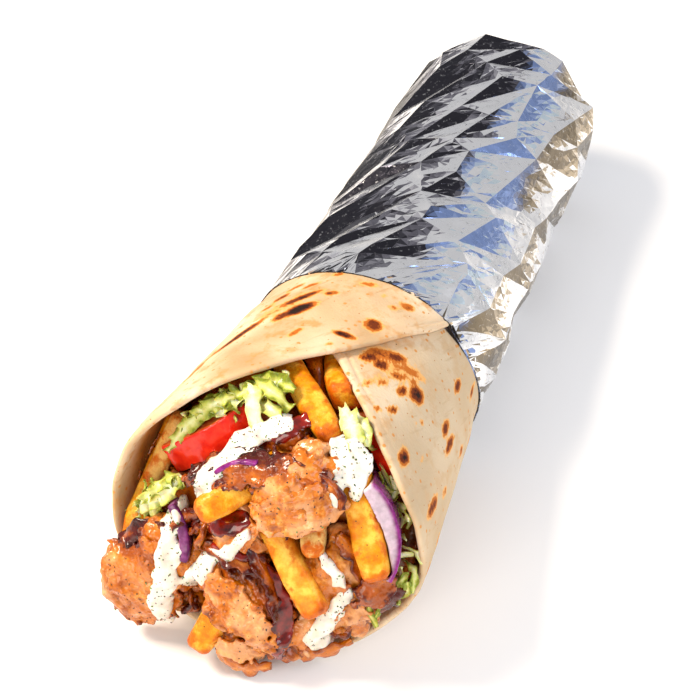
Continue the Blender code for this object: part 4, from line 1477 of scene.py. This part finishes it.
# The way that a curl's flat side faces when it is seen best.
TOWARDS_EYE = (0.25, -0.66, 0.71)
lettuce("lettuce_leaf_top", "lettuce_top", [
    ribbon([(-31, -91, 55), (-28, -88, 61), (-24, -85, 66), (-20, -83, 70), (-15, -81, 73)],
           5.5, TOWARDS_EYE, 1.5, (20, -20), 0.4, 1),
    ribbon([(-28, -87, 61), (-24, -84, 66), (-20, -82, 69), (-15, -80, 72), (-11, -77, 74)],
           6, TOWARDS_EYE, 1.7, (-30, 30), 0.55, 2),
    ribbon([(-25, -85, 65), (-20, -81, 69), (-14, -78, 72), (-9, -75, 74)],
           6, TOWARDS_EYE, 1.6, (50, 10), 0.3, 3),
    ribbon([(-20, -84, 67), (-15, -81, 71), (-11, -79, 73)], 5, TOWARDS_EYE, 1.5, (0, 60), 0.2, 9),
    ribbon([(-13, -77, 74), (-10, -81, 75), (-8, -85, 73), (-6, -87, 70), (-5, -88, 66)],
           5, (0.4, -0.8, 0.3), 0.6, (-10, 25), 0.1, 4),
    ribbon([(-12, -76, 73), (-8, -78, 76), (-3, -80, 76), (1, -81, 74)],
           6, TOWARDS_EYE, 1.7, (0, 40), 0.5, 5),
    ribbon([(-9, -80, 72), (-4, -82, 73), (0, -84, 72)], 5, TOWARDS_EYE, 1.5, (30, -30), 0.35, 6),
    ribbon([(-12, -74, 74), (-6, -75, 76), (0, -76, 76)], 6, TOWARDS_EYE, 1.4, (-20, 20), 0.6, 7),
    *shreds((-28, -85, 62), (-4, -72, 72), 12, 2.0, 10, 3.2, 41, 0.4, (0.7, 0.3, 0.4)),
])
lettuce("lettuce_leaf_left", "lettuce_left", [
    ribbon([(-41, -98, 33), (-37, -99, 37), (-33, -100, 42), (-30, -100, 47)],
           6, TOWARDS_EYE, 1.5, (10, -30), 0.35, 11),
    ribbon([(-37, -100, 40), (-33, -100, 44), (-28, -99, 49), (-25, -96, 53)],
           7, TOWARDS_EYE, 1.7, (-20, 20), 0.25, 12),
    ribbon([(-34, -98, 45), (-30, -98, 50), (-26, -96, 53)],
           5, TOWARDS_EYE, 1.4, (0, 50), 0.5, 13),
    *shreds((-39, -98, 36), (-26, -96, 51), 9, 1.6, 8, 3, 43, 0.35, (0.6, 0, 0.6)),
])
lettuce("lettuce_leaf_right", "lettuce_right",
        shreds((30, -82, 60), (38, -94, 38), 22, 2.6, 9, 2.6, 44, 0.3, (0.3, -0.5, -0.6))
        + shreds((38, -94, 38), (34, -103, 28), 13, 2.0, 8, 2.6, 45, 0.4, (0, -0.5, -0.8)))
lettuce("lettuce_leaf_middle", "lettuce_middle", [
    ribbon([(13, -74, 72), (17, -80, 74), (20, -84, 72), (21, -86, 68)],
           6, TOWARDS_EYE, 1.2, (0, 30), 0.15, 15),
    ribbon([(16, -74, 72), (21, -79, 72), (23, -83, 70)], 4, TOWARDS_EYE, 1.0, (20, 0), 0.3, 16),
    *shreds((13, -72, 67), (21, -84, 68), 6, 1.5, 8, 3, 47, 0.3),
])

# %% [markdown]
# ## Lying over what is there
#
# Soft things lie on whatever is under them: they bridge small gaps and follow the big shapes.
# So each one is drawn as strokes with a width on the finished food. Rays find how far out the
# food reaches under them, and that surface is evened out. OUT is the way the mouth faces, and
# the grid of rays is square to it.

# %% Lying over what is there
OUT = Vector((0.2, -0.85, 0.49)).normalized()
ACROSS = Vector((1, 0, 0)).cross(OUT).normalized()
RIGHT = OUT.cross(ACROSS).normalized()
PLANE = np.array([RIGHT, ACROSS, OUT])
STEP = 0.42
RAYS_FROM = 200.0
NOTHING = -99.0
# How far the food under a stroke may lie behind it and in front of it.
DEEPEST, HIGHEST = 3.5, 4


def under_rays(pieces, flat_points):
    """How far out the food reaches at each place of the plane."""
    graph = bpy.context.evaluated_depsgraph_get()
    trees = [BVHTree.FromObject(piece, graph) for piece in pieces]
    reach = np.full(len(flat_points), NOTHING)
    for number, (a, b) in enumerate(flat_points.tolist()):
        origin = (RIGHT * a + ACROSS * b + OUT * RAYS_FROM) * MM
        hits = (tree.ray_cast(origin, -OUT)[3] for tree in trees)
        reach[number] = max((RAYS_FROM - hit / MM for hit in hits if hit is not None),
                            default=NOTHING)
    return reach


def evened(field, known, steps):
    """The field spread evenly between its neighbours, for the places that are known."""
    field, share = np.where(known, field, 0.0), known.astype(float)
    for _ in range(steps):
        for axis in (0, 1):
            field = (np.roll(field, 1, axis) + 2 * field + np.roll(field, -1, axis)) / 4
            share = (np.roll(share, 1, axis) + 2 * share + np.roll(share, -1, axis)) / 4
    return field / np.maximum(share, 1e-6)


def wander(grid, size_mm, seeds):
    """Smooth random shifts over the grid, one for each seed."""
    shifts = [[noise.noise((x / size_mm, y / size_mm, seed)) for seed in seeds]
              for x, y in grid.reshape(-1, 2).tolist()]
    return np.array(shifts).reshape(grid.shape)


def filled(flats, grid):
    """How full the grid is under the strokes, 1 on their middle lines, and how far out they
    lie."""
    fill, depth = np.full(grid.shape[:2], -1.0), np.zeros(grid.shape[:2])
    for flat in flats:
        for start, end in zip(flat[:-1], flat[1:]):
            way = end[:2] - start[:2]
            share = np.clip(((grid - start[:2]) @ way) / max(way @ way, 1e-6), 0, 1)
            here = start + share[..., None] * (end - start)
            full = 1 - (np.linalg.norm(grid - here[..., :2], axis=-1) / here[..., 3]) ** 2
            better = full > fill
            fill, depth = np.where(better, full, fill), np.where(better, here[..., 2], depth)
    return fill, depth


def laid_over(strokes, seed, pieces, ragged_mm, evenness):
    """The grid under some strokes of (x, y, z, half width), the part of it that they cover and
    how fully, the food beneath, that food evened out, and a random shift."""
    paths = [np.array(stroke, float) for stroke in strokes]
    flats = [np.column_stack([path[:, :3] @ PLANE.T, path[:, 3]]) for path in paths]
    margin = 4 + max(flat[:, 3].max() for flat in flats)
    low = np.min([flat[:, :2].min(axis=0) - margin for flat in flats], axis=0)
    high = np.max([flat[:, :2].max(axis=0) + margin for flat in flats], axis=0)
    a, b = (np.arange(low[i], high[i], STEP) for i in (0, 1))
    grid = np.stack(np.meshgrid(a, b, indexing="ij"), axis=-1)
    shift = wander(grid, 3, (seed, seed + 7))
    small = wander(grid, 1.1, (seed + 3, seed + 11))
    fill, depth = filled(flats, grid + ragged_mm * (shift + 0.35 * small))
    mask = fill > 0
    ground = np.full(mask.shape, NOTHING)
    ground[mask] = under_rays(pieces, grid[mask])
    ground = np.where(ground <= NOTHING, depth - 2, ground)
    ground = np.clip(ground, depth - DEEPEST, depth + HIGHEST)
    return grid, mask, np.clip(fill, 0, 1), ground, evened(ground, mask, evenness), shift[..., 0]


print("the mouth faces", [round(share, 2) for share in OUT])

# %% [markdown]
# ## A closed skin between two heights
#
# A thin slice or a pour has a top and an underside over the same patch of the grid. Squares
# join the points of each, a wall joins the two round the patch's border, and an even net over
# the whole rounds it. The pieces that soft things can lie on are listed here as well.

# %% A closed skin between two heights
SKIN_CELL = 0.4
SOLID_FOOD = ("meat", "fry", "tomato", "onion", "cabbage", "lettuce", "packed")


def closed_skin(name, grid, mask, top, under):
    """A rounded, closed mesh between two heights over the masked part of the grid."""
    number = np.full(mask.shape, -1)
    number[mask] = np.arange(mask.sum())
    count = int(mask.sum())
    upper, lower = (np.column_stack([grid[mask], side[mask]]) @ PLANE for side in (top, under))
    corners = np.stack([number[:-1, :-1], number[1:, :-1], number[1:, 1:], number[:-1, 1:]], -1)
    quads = corners[(corners >= 0).all(axis=-1)]
    faces = quads.tolist() + (quads[:, ::-1] + count).tolist()
    edges = {tuple(edge) for i in range(4) for edge in quads[:, [i, (i + 1) % 4]].tolist()}
    faces += [(p, p + count, q + count, q) for p, q in sorted(edges) if (q, p) not in edges]
    return even_net(name, make_mesh(name, np.concatenate([upper, lower]), faces), SKIN_CELL)


PLAIN = list(NODES.values())
FOOD = [thing for thing in bpy.context.scene.objects
        if thing.name.split("_")[0] in SOLID_FOOD and thing not in PLAIN]
print("pieces that soft things can lie on:", len(FOOD))

# %% [markdown]
# ## Thin slices on top
#
# What shows of the meat is mostly thin slices, 2 mm thick, with torn lobed edges that curl away
# from the pile. Each is laid over the thick shavings along its own line. Wrinkles run along it
# in a fine web, and the rim lifts, frays and chars.

# %% Thin slices on top
# strokes of (x, y, z, half width), then char and pale, from 0 to 1, and the mm its rim lifts
THIN_SLICES = [
    ([[(3, -101, 57, 5), (9, -99, 59, 6.5), (16, -96, 60, 6.5)],
      [(5, -101, 55, 4.5), (11, -99, 57, 5)]], 0.16, 0.7, 1.6),
    ([[(-20, -99, 55, 3.2), (-16, -96, 59, 4.5), (-9, -95, 63, 5), (-1, -94, 65, 5),
       (7, -94, 66, 4.5), (13, -93, 65, 4)]], 0.85, 0.0, 2.2),
    ([[(-38, -108, 27, 6), (-33, -109, 21, 8), (-28, -110, 15, 7)],
      [(-31, -106, 30, 6), (-28, -108, 22, 7)], [(-39, -110, 12, 4), (-33, -111, 11, 6)]],
     0.35, 0.55, 1.8),
    ([[(-10, -105, 35, 6), (-2, -107, 31, 8), (4, -110, 24, 7), (7, -112, 15, 5)],
      [(-12, -107, 29, 5), (-5, -109, 22, 6)]], 0.5, 0.1, 2.0),
    ([[(-11, -107, 30, 3.5), (-5, -110, 26, 4.5), (1, -111, 22, 5), (6, -113, 15, 4)]],
     0.15, 0.75, 2.0),
    ([[(13, -109, 16, 4), (20, -106, 24, 6), (27, -103, 30, 5)]], 0.2, 0.5, 1.8),
    ([[(30, -101, 35, 4.5), (35, -99, 38, 4)]], 0.95, 0.0, 1.8),
    ([[(16, -101, 40, 4), (20, -102, 34, 5.5), (21, -103, 29, 4.5)]], 0.3, 0.6, 1.8),
    ([[(8, -91, 68, 3.5), (14, -91, 67, 4.5)]], 0.1, 0.8, 1.4),
    ([[(-15, -103, 40, 3.5), (-9, -102, 44, 4.5), (-3, -101, 46, 4)]], 0.3, 0.5, 1.6),
    ([[(-6, -115, 11, 3), (-2, -116, 12, 3.5), (3, -115, 11, 3)]], 0.1, 0.8, 2.6),
]
SLICE_THICK = 2.0


def thin_slice(number, strokes, char, pale, lift_mm):
    """One thin slice: laid over the pile, wrinkled along its length, with a lifted torn rim."""
    seed = 20.0 + 3.1 * number
    grid, mask, fill, _, smooth, shift = laid_over(strokes, seed, FOOD, 2.4, 14)
    flat = np.column_stack([grid[mask], 0 * grid[mask][:, 0]])
    line = np.array(strokes[0], float)[:, :3] @ PLANE.T
    way = (line[-1] - line[0])[:2] / np.linalg.norm((line[-1] - line[0])[:2])
    turned = np.column_stack([flat[:, :2] @ way, flat[:, :2] @ (-way[1], way[0]), flat[:, 2]])
    turned += 1.2 * np.column_stack([lumps(flat, 7, seed + turn) for turn in (1, 2, 3)])
    folds = 0 * fill
    folds[mask] = (1.1 * grooves(turned, 5.0, seed, (0.3, 1, 1))
                   + 0.5 * grooves(turned, 2.1, seed + 1, (0.35, 1, 1)) - 0.6)
    rim = np.clip(1 - fill / 0.45, 0, 1) ** 1.5
    middle = smooth + 0.9 + folds * (1 - 0.4 * rim) + rim * lift_mm * (0.5 + shift)
    thick = SLICE_THICK * (1 - 0.45 * rim)
    mesh = closed_skin("thin_slice", grid, mask, middle + thick / 2, middle - thick / 2)
    soften(mesh, 2)
    points = points_of(mesh)
    place = points @ PLANE.T
    cell = ((place[:, :2] - grid[0, 0]) / STEP).round().astype(int)
    cell = np.clip(cell, 0, np.array(mask.shape) - 1)
    near_rim = rim[cell[:, 0], cell[:, 1]]
    push = 0.22 * grooves(points, 1.5, seed + 4) + 0.3 * near_rim * lumps(points, 1.4, seed + 5)
    points += normals_of(mesh) * (push - 0.12)[:, None]
    points[:, 2] = np.maximum(points[:, 2], LOWEST_SHRED)
    move_points(mesh, points)
    fire = near_lines(points, CHARRED)
    carry(mesh, "char", 0.5 * char + 0.45 * fire + (0.28 + 0.3 * char) * near_rim - 0.1 * pale)
    streaky = pale * (0.7 + 2.2 * lumps(points, 6.0, seed + 8))
    carry(mesh, "pale", np.clip(streaky - 0.6 * fire, 0, 1))
    # Painted shade in the slice's hollows.
    carry(mesh, "hollow", np.clip(-bulge(mesh, 10) / 0.5, 0, 1))
    FOOD.append(make_piece(f"meat_slice_{number + 1}", mesh, MEAT, "roast_meat"))


for slice_number, facts in enumerate(THIN_SLICES):
    thin_slice(slice_number, *facts)

# %% [markdown]
# ## Frilled edges and scraps of meat
#
# Where a shaving is thin it curls up from the fire and chars into a dark frill, and the knife
# drops scraps that fill the gaps between slices. Both are the same swept strip as the lettuce,
# only thicker, shorter and made of meat.

# %% Frilled edges and scraps of meat
FRILL_THICK = 1.6
FRILL_WAVE = 7.5


def meat_strips(name, strips):
    """Strips of meat as one piece, each charred as its ribbon says."""
    points, faces, char = join(strips)
    points[:, 2] = np.maximum(points[:, 2], LOWEST_SHRED)
    still = 0 * char
    mesh = make_mesh(name, points, faces, char=char, pale=still, hollow=still)
    return make_piece(name, mesh, MEAT, "roast_meat")


FRILLS = [
    # route, width, way it faces, frill, twist, char
    ([(-20, -100, 57), (-14, -99, 60), (-6, -98, 63), (2, -97, 66), (9, -95, 68), (16, -93, 68)],
     6.5, (0, -0.3, 1), 0.9, (-30, 20), 0.72),
    ([(-3, -100, 61), (4, -99, 64), (11, -97, 66), (18, -96, 66), (22, -98, 61)],
     5.5, (0, -0.6, 1), 0.8, (10, -30), 0.6),
    ([(-4, -103, 44), (2, -106, 38), (7, -109, 28), (9, -111, 18), (10, -112, 10)],
     6, (0.8, -0.6, 0.2), 0.9, (0, 40), 0.75),
    ([(-15, -105, 39), (-8, -107, 39), (-2, -107, 38), (3, -106, 35)],
     6, (0, -0.7, 0.7), 0.8, (0, 30), 0.6),
    ([(-27, -104, 40), (-33, -105, 37), (-38, -106, 33), (-40, -108, 27)],
     7, (-0.3, -0.7, 0.6), 1.0, (20, -20), 0.85),
    ([(-40, -108, 27), (-40, -111, 19), (-37, -113, 11), (-33, -114, 6)],
     6, (-0.6, -0.8, 0), 1.0, (0, 40), 0.3),
    ([(-8, -115, 9), (-4, -117, 6), (1, -116, 5), (7, -114, 6)],
     6, (0, -0.9, -0.3), 0.9, (0, 30), 0.25),
    ([(21, -99, 52), (26, -100, 46), (29, -101, 38)], 6, (0.6, -0.7, 0.4), 0.8, (0, 30), 0.4),
    ([(28, -100, 38), (33, -100, 35), (38, -98, 30)], 7, (0.2, -0.8, 0.6), 1.0, (0, 40), 0.85),
    ([(7, -113, 10), (13, -109, 8), (20, -106, 9), (26, -102, 12)],
     6, (0.2, -0.9, 0.1), 0.9, (0, -30), 0.2),
]
meat_strips("meat_frills", [ribbon(*frill, 101.0 + 1.3 * number, FRILL_THICK, FRILL_WAVE)
                            for number, frill in enumerate(FRILLS)])
meat_strips("meat_scraps",
            shreds((-28, -106, 14), (-12, -108, 14), 9, 2.0, 8, 4.5, 61, 0.4, (0.3, 0, 1), 2.0)
            + shreds((-24, -102, 44), (-8, -102, 40), 8, 1.5, 8, 4.0, 62, 0.5, (0.6, 0, 0.6), 1.8)
            + shreds((-2, -100, 46), (8, -101, 46), 5, 1.2, 7, 3.6, 63, 0.4, (0.5, 0, 1), 1.8)
            + shreds((8, -106, 24), (24, -102, 20), 9, 1.8, 8, 4.0, 64, 0.35, (0.3, 0, 1), 1.8)
            + shreds((-4, -86, 64), (14, -84, 66), 7, 1.8, 8, 4.0, 65, 0.5, (1, 0, 0.3), 1.8))

# %% [markdown]
# ## Herb sauce and red sauce
#
# The white sauce is yoghurt with chopped herbs and cracked pepper, thick, smooth and not quite
# opaque. The red one is a dark sweet chilli sauce, as glossy as syrup. The white one gets its
# flecks twice: fine ones in the finish here, and real ones on top once it has been poured.

# %% Herb sauce and red sauce
def yoghurt():
    """Cream with faint thin places and two kinds of fleck."""
    material, tree, place = new_finish("yoghurt and herb sauce")
    thin = add(tree, "TexNoise", Vector=place, Scale=per_metre(4), Detail=3)
    tone = add(tree, "ValToRGB", Fac=thin, stops=[(0.35, "d8cfbc"), (0.6, "efe9dc")])
    tone = pepper(tree, tone, "3a3a34", place, 1.6, 0.36, 0.15)
    tone = pepper(tree, tone, "857450", place, 1.8, 0.45, 0.85)
    food(tree, tone, 0.3, add(tree, "Bump", Height=thin, Distance=0.3 * MM), 0.3, 0.35, 2.0)
    return material


def chilli():
    """Dark red syrup, lighter where it is thin."""
    material, tree, place = new_finish("sweet chilli sauce")
    thin = add(tree, "TexNoise", Vector=place, Scale=per_metre(3), Detail=3)
    tone = add(tree, "ValToRGB", Fac=thin, stops=[(0.35, "3e0502"), (0.65, "8a1606")])
    food(tree, tone, 0.12, add(tree, "Bump", Height=thin, Distance=0.25 * MM), 0.8, 0.1, 1.0)
    return material


RED_SAUCE, WHITE_SAUCE = chilli(), yoghurt()
print("sauce finishes:", RED_SAUCE.name, "and", WHITE_SAUCE.name)

# %% [markdown]
# ## Pouring the sauces
#
# Each pour is a stroke with a width: it runs down the pile, bridges the small gaps, and stands
# up in a soft dome with a rounded edge. The red sauce goes on first, and the white one over it,
# so the white is laid on the red too.

# %% Pouring the sauces
def sauce(name, stuff, strokes, thick, seed):
    """One sauce: domed over the evened food, and never thinner than a film."""
    grid, mask, fill, ground, smooth, shift = laid_over(strokes, seed, FOOD, 1.3, 7)
    dome = thick * np.sqrt(fill) * (1 + 0.35 * shift)
    top = np.maximum(smooth + dome, ground + 0.3 * np.clip(fill * 3, 0, 1))
    top = evened(top, mask, 1)
    mesh = closed_skin(name, grid, mask, top, np.minimum(ground, smooth) - 1.0)
    soften(mesh, 3)
    FOOD.append(make_piece(name, mesh, stuff, name))


# x, y, z and half width of each point that a pour runs through
RED_POURS = [
    [(-18, -103, 42, 2.2), (-13, -103, 46, 3.2), (-9, -103, 48, 3.2), (-4, -102, 51, 2.2)],
    [(-12, -105, 39, 1.4), (-6, -106, 41, 2.0), (0, -108, 40, 2.4), (5, -109, 36, 3.0),
     (8, -110, 30, 3.2), (10, -112, 23, 3.0), (10, -113, 16, 2.2), (9, -114, 10, 1.5)],
    [(6, -84, 73, 2.0), (3, -87, 72, 2.4), (0, -89, 70, 1.6)],
]
WHITE_POURS = [
    [(1, -85, 73, 2.2), (-4, -88, 70, 2.7), (-9, -91, 67, 2.9), (-13, -94, 62, 2.8),
     (-17, -97, 57, 2.8), (-19, -98, 51, 2.4)],
    [(-17, -98, 56, 2.2), (-13, -100, 55, 1.8)],
    [(-24, -100, 45, 2.2), (-26, -103, 39, 3.0), (-25, -106, 34, 3.4), (-25, -109, 27, 3.5),
     (-26, -111, 20, 3.6), (-26, -112, 13, 3.0), (-26, -111, 8, 2.0)],
    [(-19, -107, 24, 3.0), (-16, -107, 29, 2.8), (-13, -106, 35, 2.4), (-8, -105, 40, 2.2),
     (-3, -103, 47, 1.6)],
    [(17, -87, 71, 3.2), (20, -89, 71, 4.4), (22, -90, 69, 5.0), (22, -92, 67, 4.2)],
    [(19, -91, 67, 2.4), (19, -93, 63, 2.0), (19, -94, 60, 1.4)],
    [(24, -92, 66, 2.4), (24, -94, 62, 1.6)],
    [(18, -101, 45, 1.2), (21, -102, 42, 1.7), (24, -103, 38, 1.5)],
    [(25, -102, 34, 2.0), (22, -103, 28, 2.8), (20, -105, 22, 3.0), (17, -105, 15, 3.2),
     (18, -104, 10, 3.2)],
]
sauce("red_sauce", RED_SAUCE, RED_POURS, 1.0, 3.0)
sauce("herb_sauce", WHITE_SAUCE, WHITE_POURS, 1.6, 8.0)

# %% [markdown]
# ## Chopped herbs and cracked pepper
#
# Dried herbs and cracked pepper are thin crumbs of four to six corners. Each lies on a random
# face of the sauce or the meat that looks out of the mouth, tipped a little and partly sunk in.

# %% Chopped herbs and cracked pepper
# A fleck is this far sunk in and stands this far up.
FLECK_UNDER, FLECK_TOP = -0.1, 0.16


def chopped(name, *shades):
    """Dry crumbs, each in one of these shades."""
    material, tree, _ = new_finish(name)
    stops = [(number / (len(shades) - 1), shade) for number, shade in enumerate(shades)]
    tone = add(tree, "ValToRGB", Fac=carried(tree, "tint"), stops=stops)
    cover(tree, Base_Color=tone, Roughness=0.55)
    return material


def fleck(face, size_mm, draw):
    """One thin crumb lying on a face: its points, its faces and its shade."""
    up = (face.normal + Vector(draw.normal(0, 0.25, 3))).normalized()
    side = up.orthogonal().normalized()
    other = up.cross(side)
    long, wide = size_mm * draw.uniform(0.5, 1.3), size_mm * draw.uniform(0.35, 0.8)
    turn = draw.uniform(0, math.tau)
    c, s = math.cos(turn), math.sin(turn)
    corners = int(draw.integers(4, 7))
    points = []
    for level in (FLECK_UNDER, FLECK_TOP):
        for corner in range(corners):
            angle = math.tau * corner / corners
            reach = draw.uniform(0.75, 1.15)
            u, v = math.cos(angle) * long / 2 * reach, math.sin(angle) * wide / 2 * reach
            place = Vector(face.center) / MM + side * (u * c - v * s) + other * (u * s + v * c)
            points.append(tuple(place + up * level))
    ring, top = list(range(corners)), list(range(corners, 2 * corners))
    walls = [(k, (k + 1) % corners, corners + (k + 1) % corners, corners + k) for k in ring]
    return points, [ring[::-1], top] + walls, [draw.uniform()] * (2 * corners)


def flecks(name, stuff, targets, count, size_mm, seed):
    """Crumbs on the parts of the targets that face out of the mouth, as one piece."""
    draw = np.random.default_rng(seed)
    crumbs = []
    for target, share in targets:
        seen = [face for face in bpy.data.objects[target].data.polygons
                if face.normal.dot(OUT) > 0.45 and face.center.y < -80 * MM]
        crumbs += [fleck(seen[number], size_mm, draw)
                   for number in draw.integers(0, len(seen), int(count * share))]
    points, faces, tint = join(crumbs)
    return make_piece(name, make_mesh(name, points, faces, tint=tint), stuff, "herb_sauce")


flecks("chopped_herbs", chopped("dried green herbs", "2c3a16", "4c6426", "7c8f46"),
       [("herb_sauce", 1.0), ("meat_slice_1", 0.06), ("meat_slice_3", 0.06)], 95, 0.75, 71)
flecks("cracked_pepper", chopped("cracked black pepper", "0f0d0b", "2a221a", "4a3a28"),
       [("herb_sauce", 1.0), ("meat_slice_1", 0.2), ("meat_slice_2", 0.2), ("meat_slice_3", 0.4),
        ("meat_slice_4", 0.3), ("meat_slice_5", 0.15), ("meat_slice_6", 0.15)], 150, 0.5, 72)

# %% [markdown]
# ## A plain table, soft light and the camera
#
# A pale table and an even white room show food as it is. One big warm light above the left
# shoulder shapes it, a cooler one on the right lights the foil, and a weak one in front reaches
# into the mouth. Big lights give the wide soft shine that oily meat and foil need. The camera
# looks down at half a right angle, from a little to the right of the roll's own line.

# %% A plain table, soft light and the camera
ROOM_LIGHT = 0.52
LOOK_AT = Vector((0.5, -36.8, 54.3))
# The camera's turn to the right, its height in degrees, its distance and its lens.
CAMERA_ROUND, CAMERA_HIGH, CAMERA_FAR, LENS = 21, 45, 531, 96.07
# Each lamp's place, width, power and colour.
LAMPS = [
    ("key", (-420, -160, 620), 220, 7.4, "fff2e0"),
    ("side", (520, -80, 420), 420, 2.6, "eef3ff"),
    ("front", (-60, -640, 330), 300, 1.8, "fff6ea"),
]


def studio():
    """The table, the white room's even light, and three big lamps."""
    bpy.ops.mesh.primitive_plane_add(size=4)
    floor = bpy.context.object
    floor.name = "table"
    material, tree, _ = new_finish("pale matt table")
    cover(tree, Base_Color="f6f5f3", Roughness=0.9)
    floor.data.materials.append(material)
    room = bpy.data.worlds.new("white room")
    room.use_nodes = True
    bpy.context.scene.world = room
    air = room.node_tree.nodes["Background"]
    air.inputs["Color"].default_value = colour("fbfbff")
    air.inputs["Strength"].default_value = ROOM_LIGHT
    for name, spot, width, power, hex_code in LAMPS:
        lamp = bpy.data.lights.new(name, "AREA")
        lamp.size, lamp.energy, lamp.color = width * MM, power, colour(hex_code)[:3]
        made = bpy.data.objects.new(name, lamp)
        made.location = Vector(spot) * MM
        aim = LOOK_AT * MM - made.location
        made.rotation_euler = aim.to_track_quat("-Z", "Y").to_euler()
        bpy.context.scene.collection.objects.link(made)


def camera():
    """The camera, on a line through the middle of what it looks at."""
    eye = bpy.data.objects.new("camera", bpy.data.cameras.new("camera"))
    eye.data.sensor_width, eye.data.lens = 36, LENS
    eye.rotation_euler = (math.radians(90 - CAMERA_HIGH), 0, math.radians(CAMERA_ROUND))
    back = eye.rotation_euler.to_matrix() @ Vector((0, 0, 1))
    eye.location = (LOOK_AT + back * CAMERA_FAR) * MM
    bpy.context.scene.collection.objects.link(eye)
    bpy.context.scene.camera = eye


studio()
camera()
bpy.context.scene.view_settings.view_transform = "Standard"
print("camera", CAMERA_FAR, "mm away")
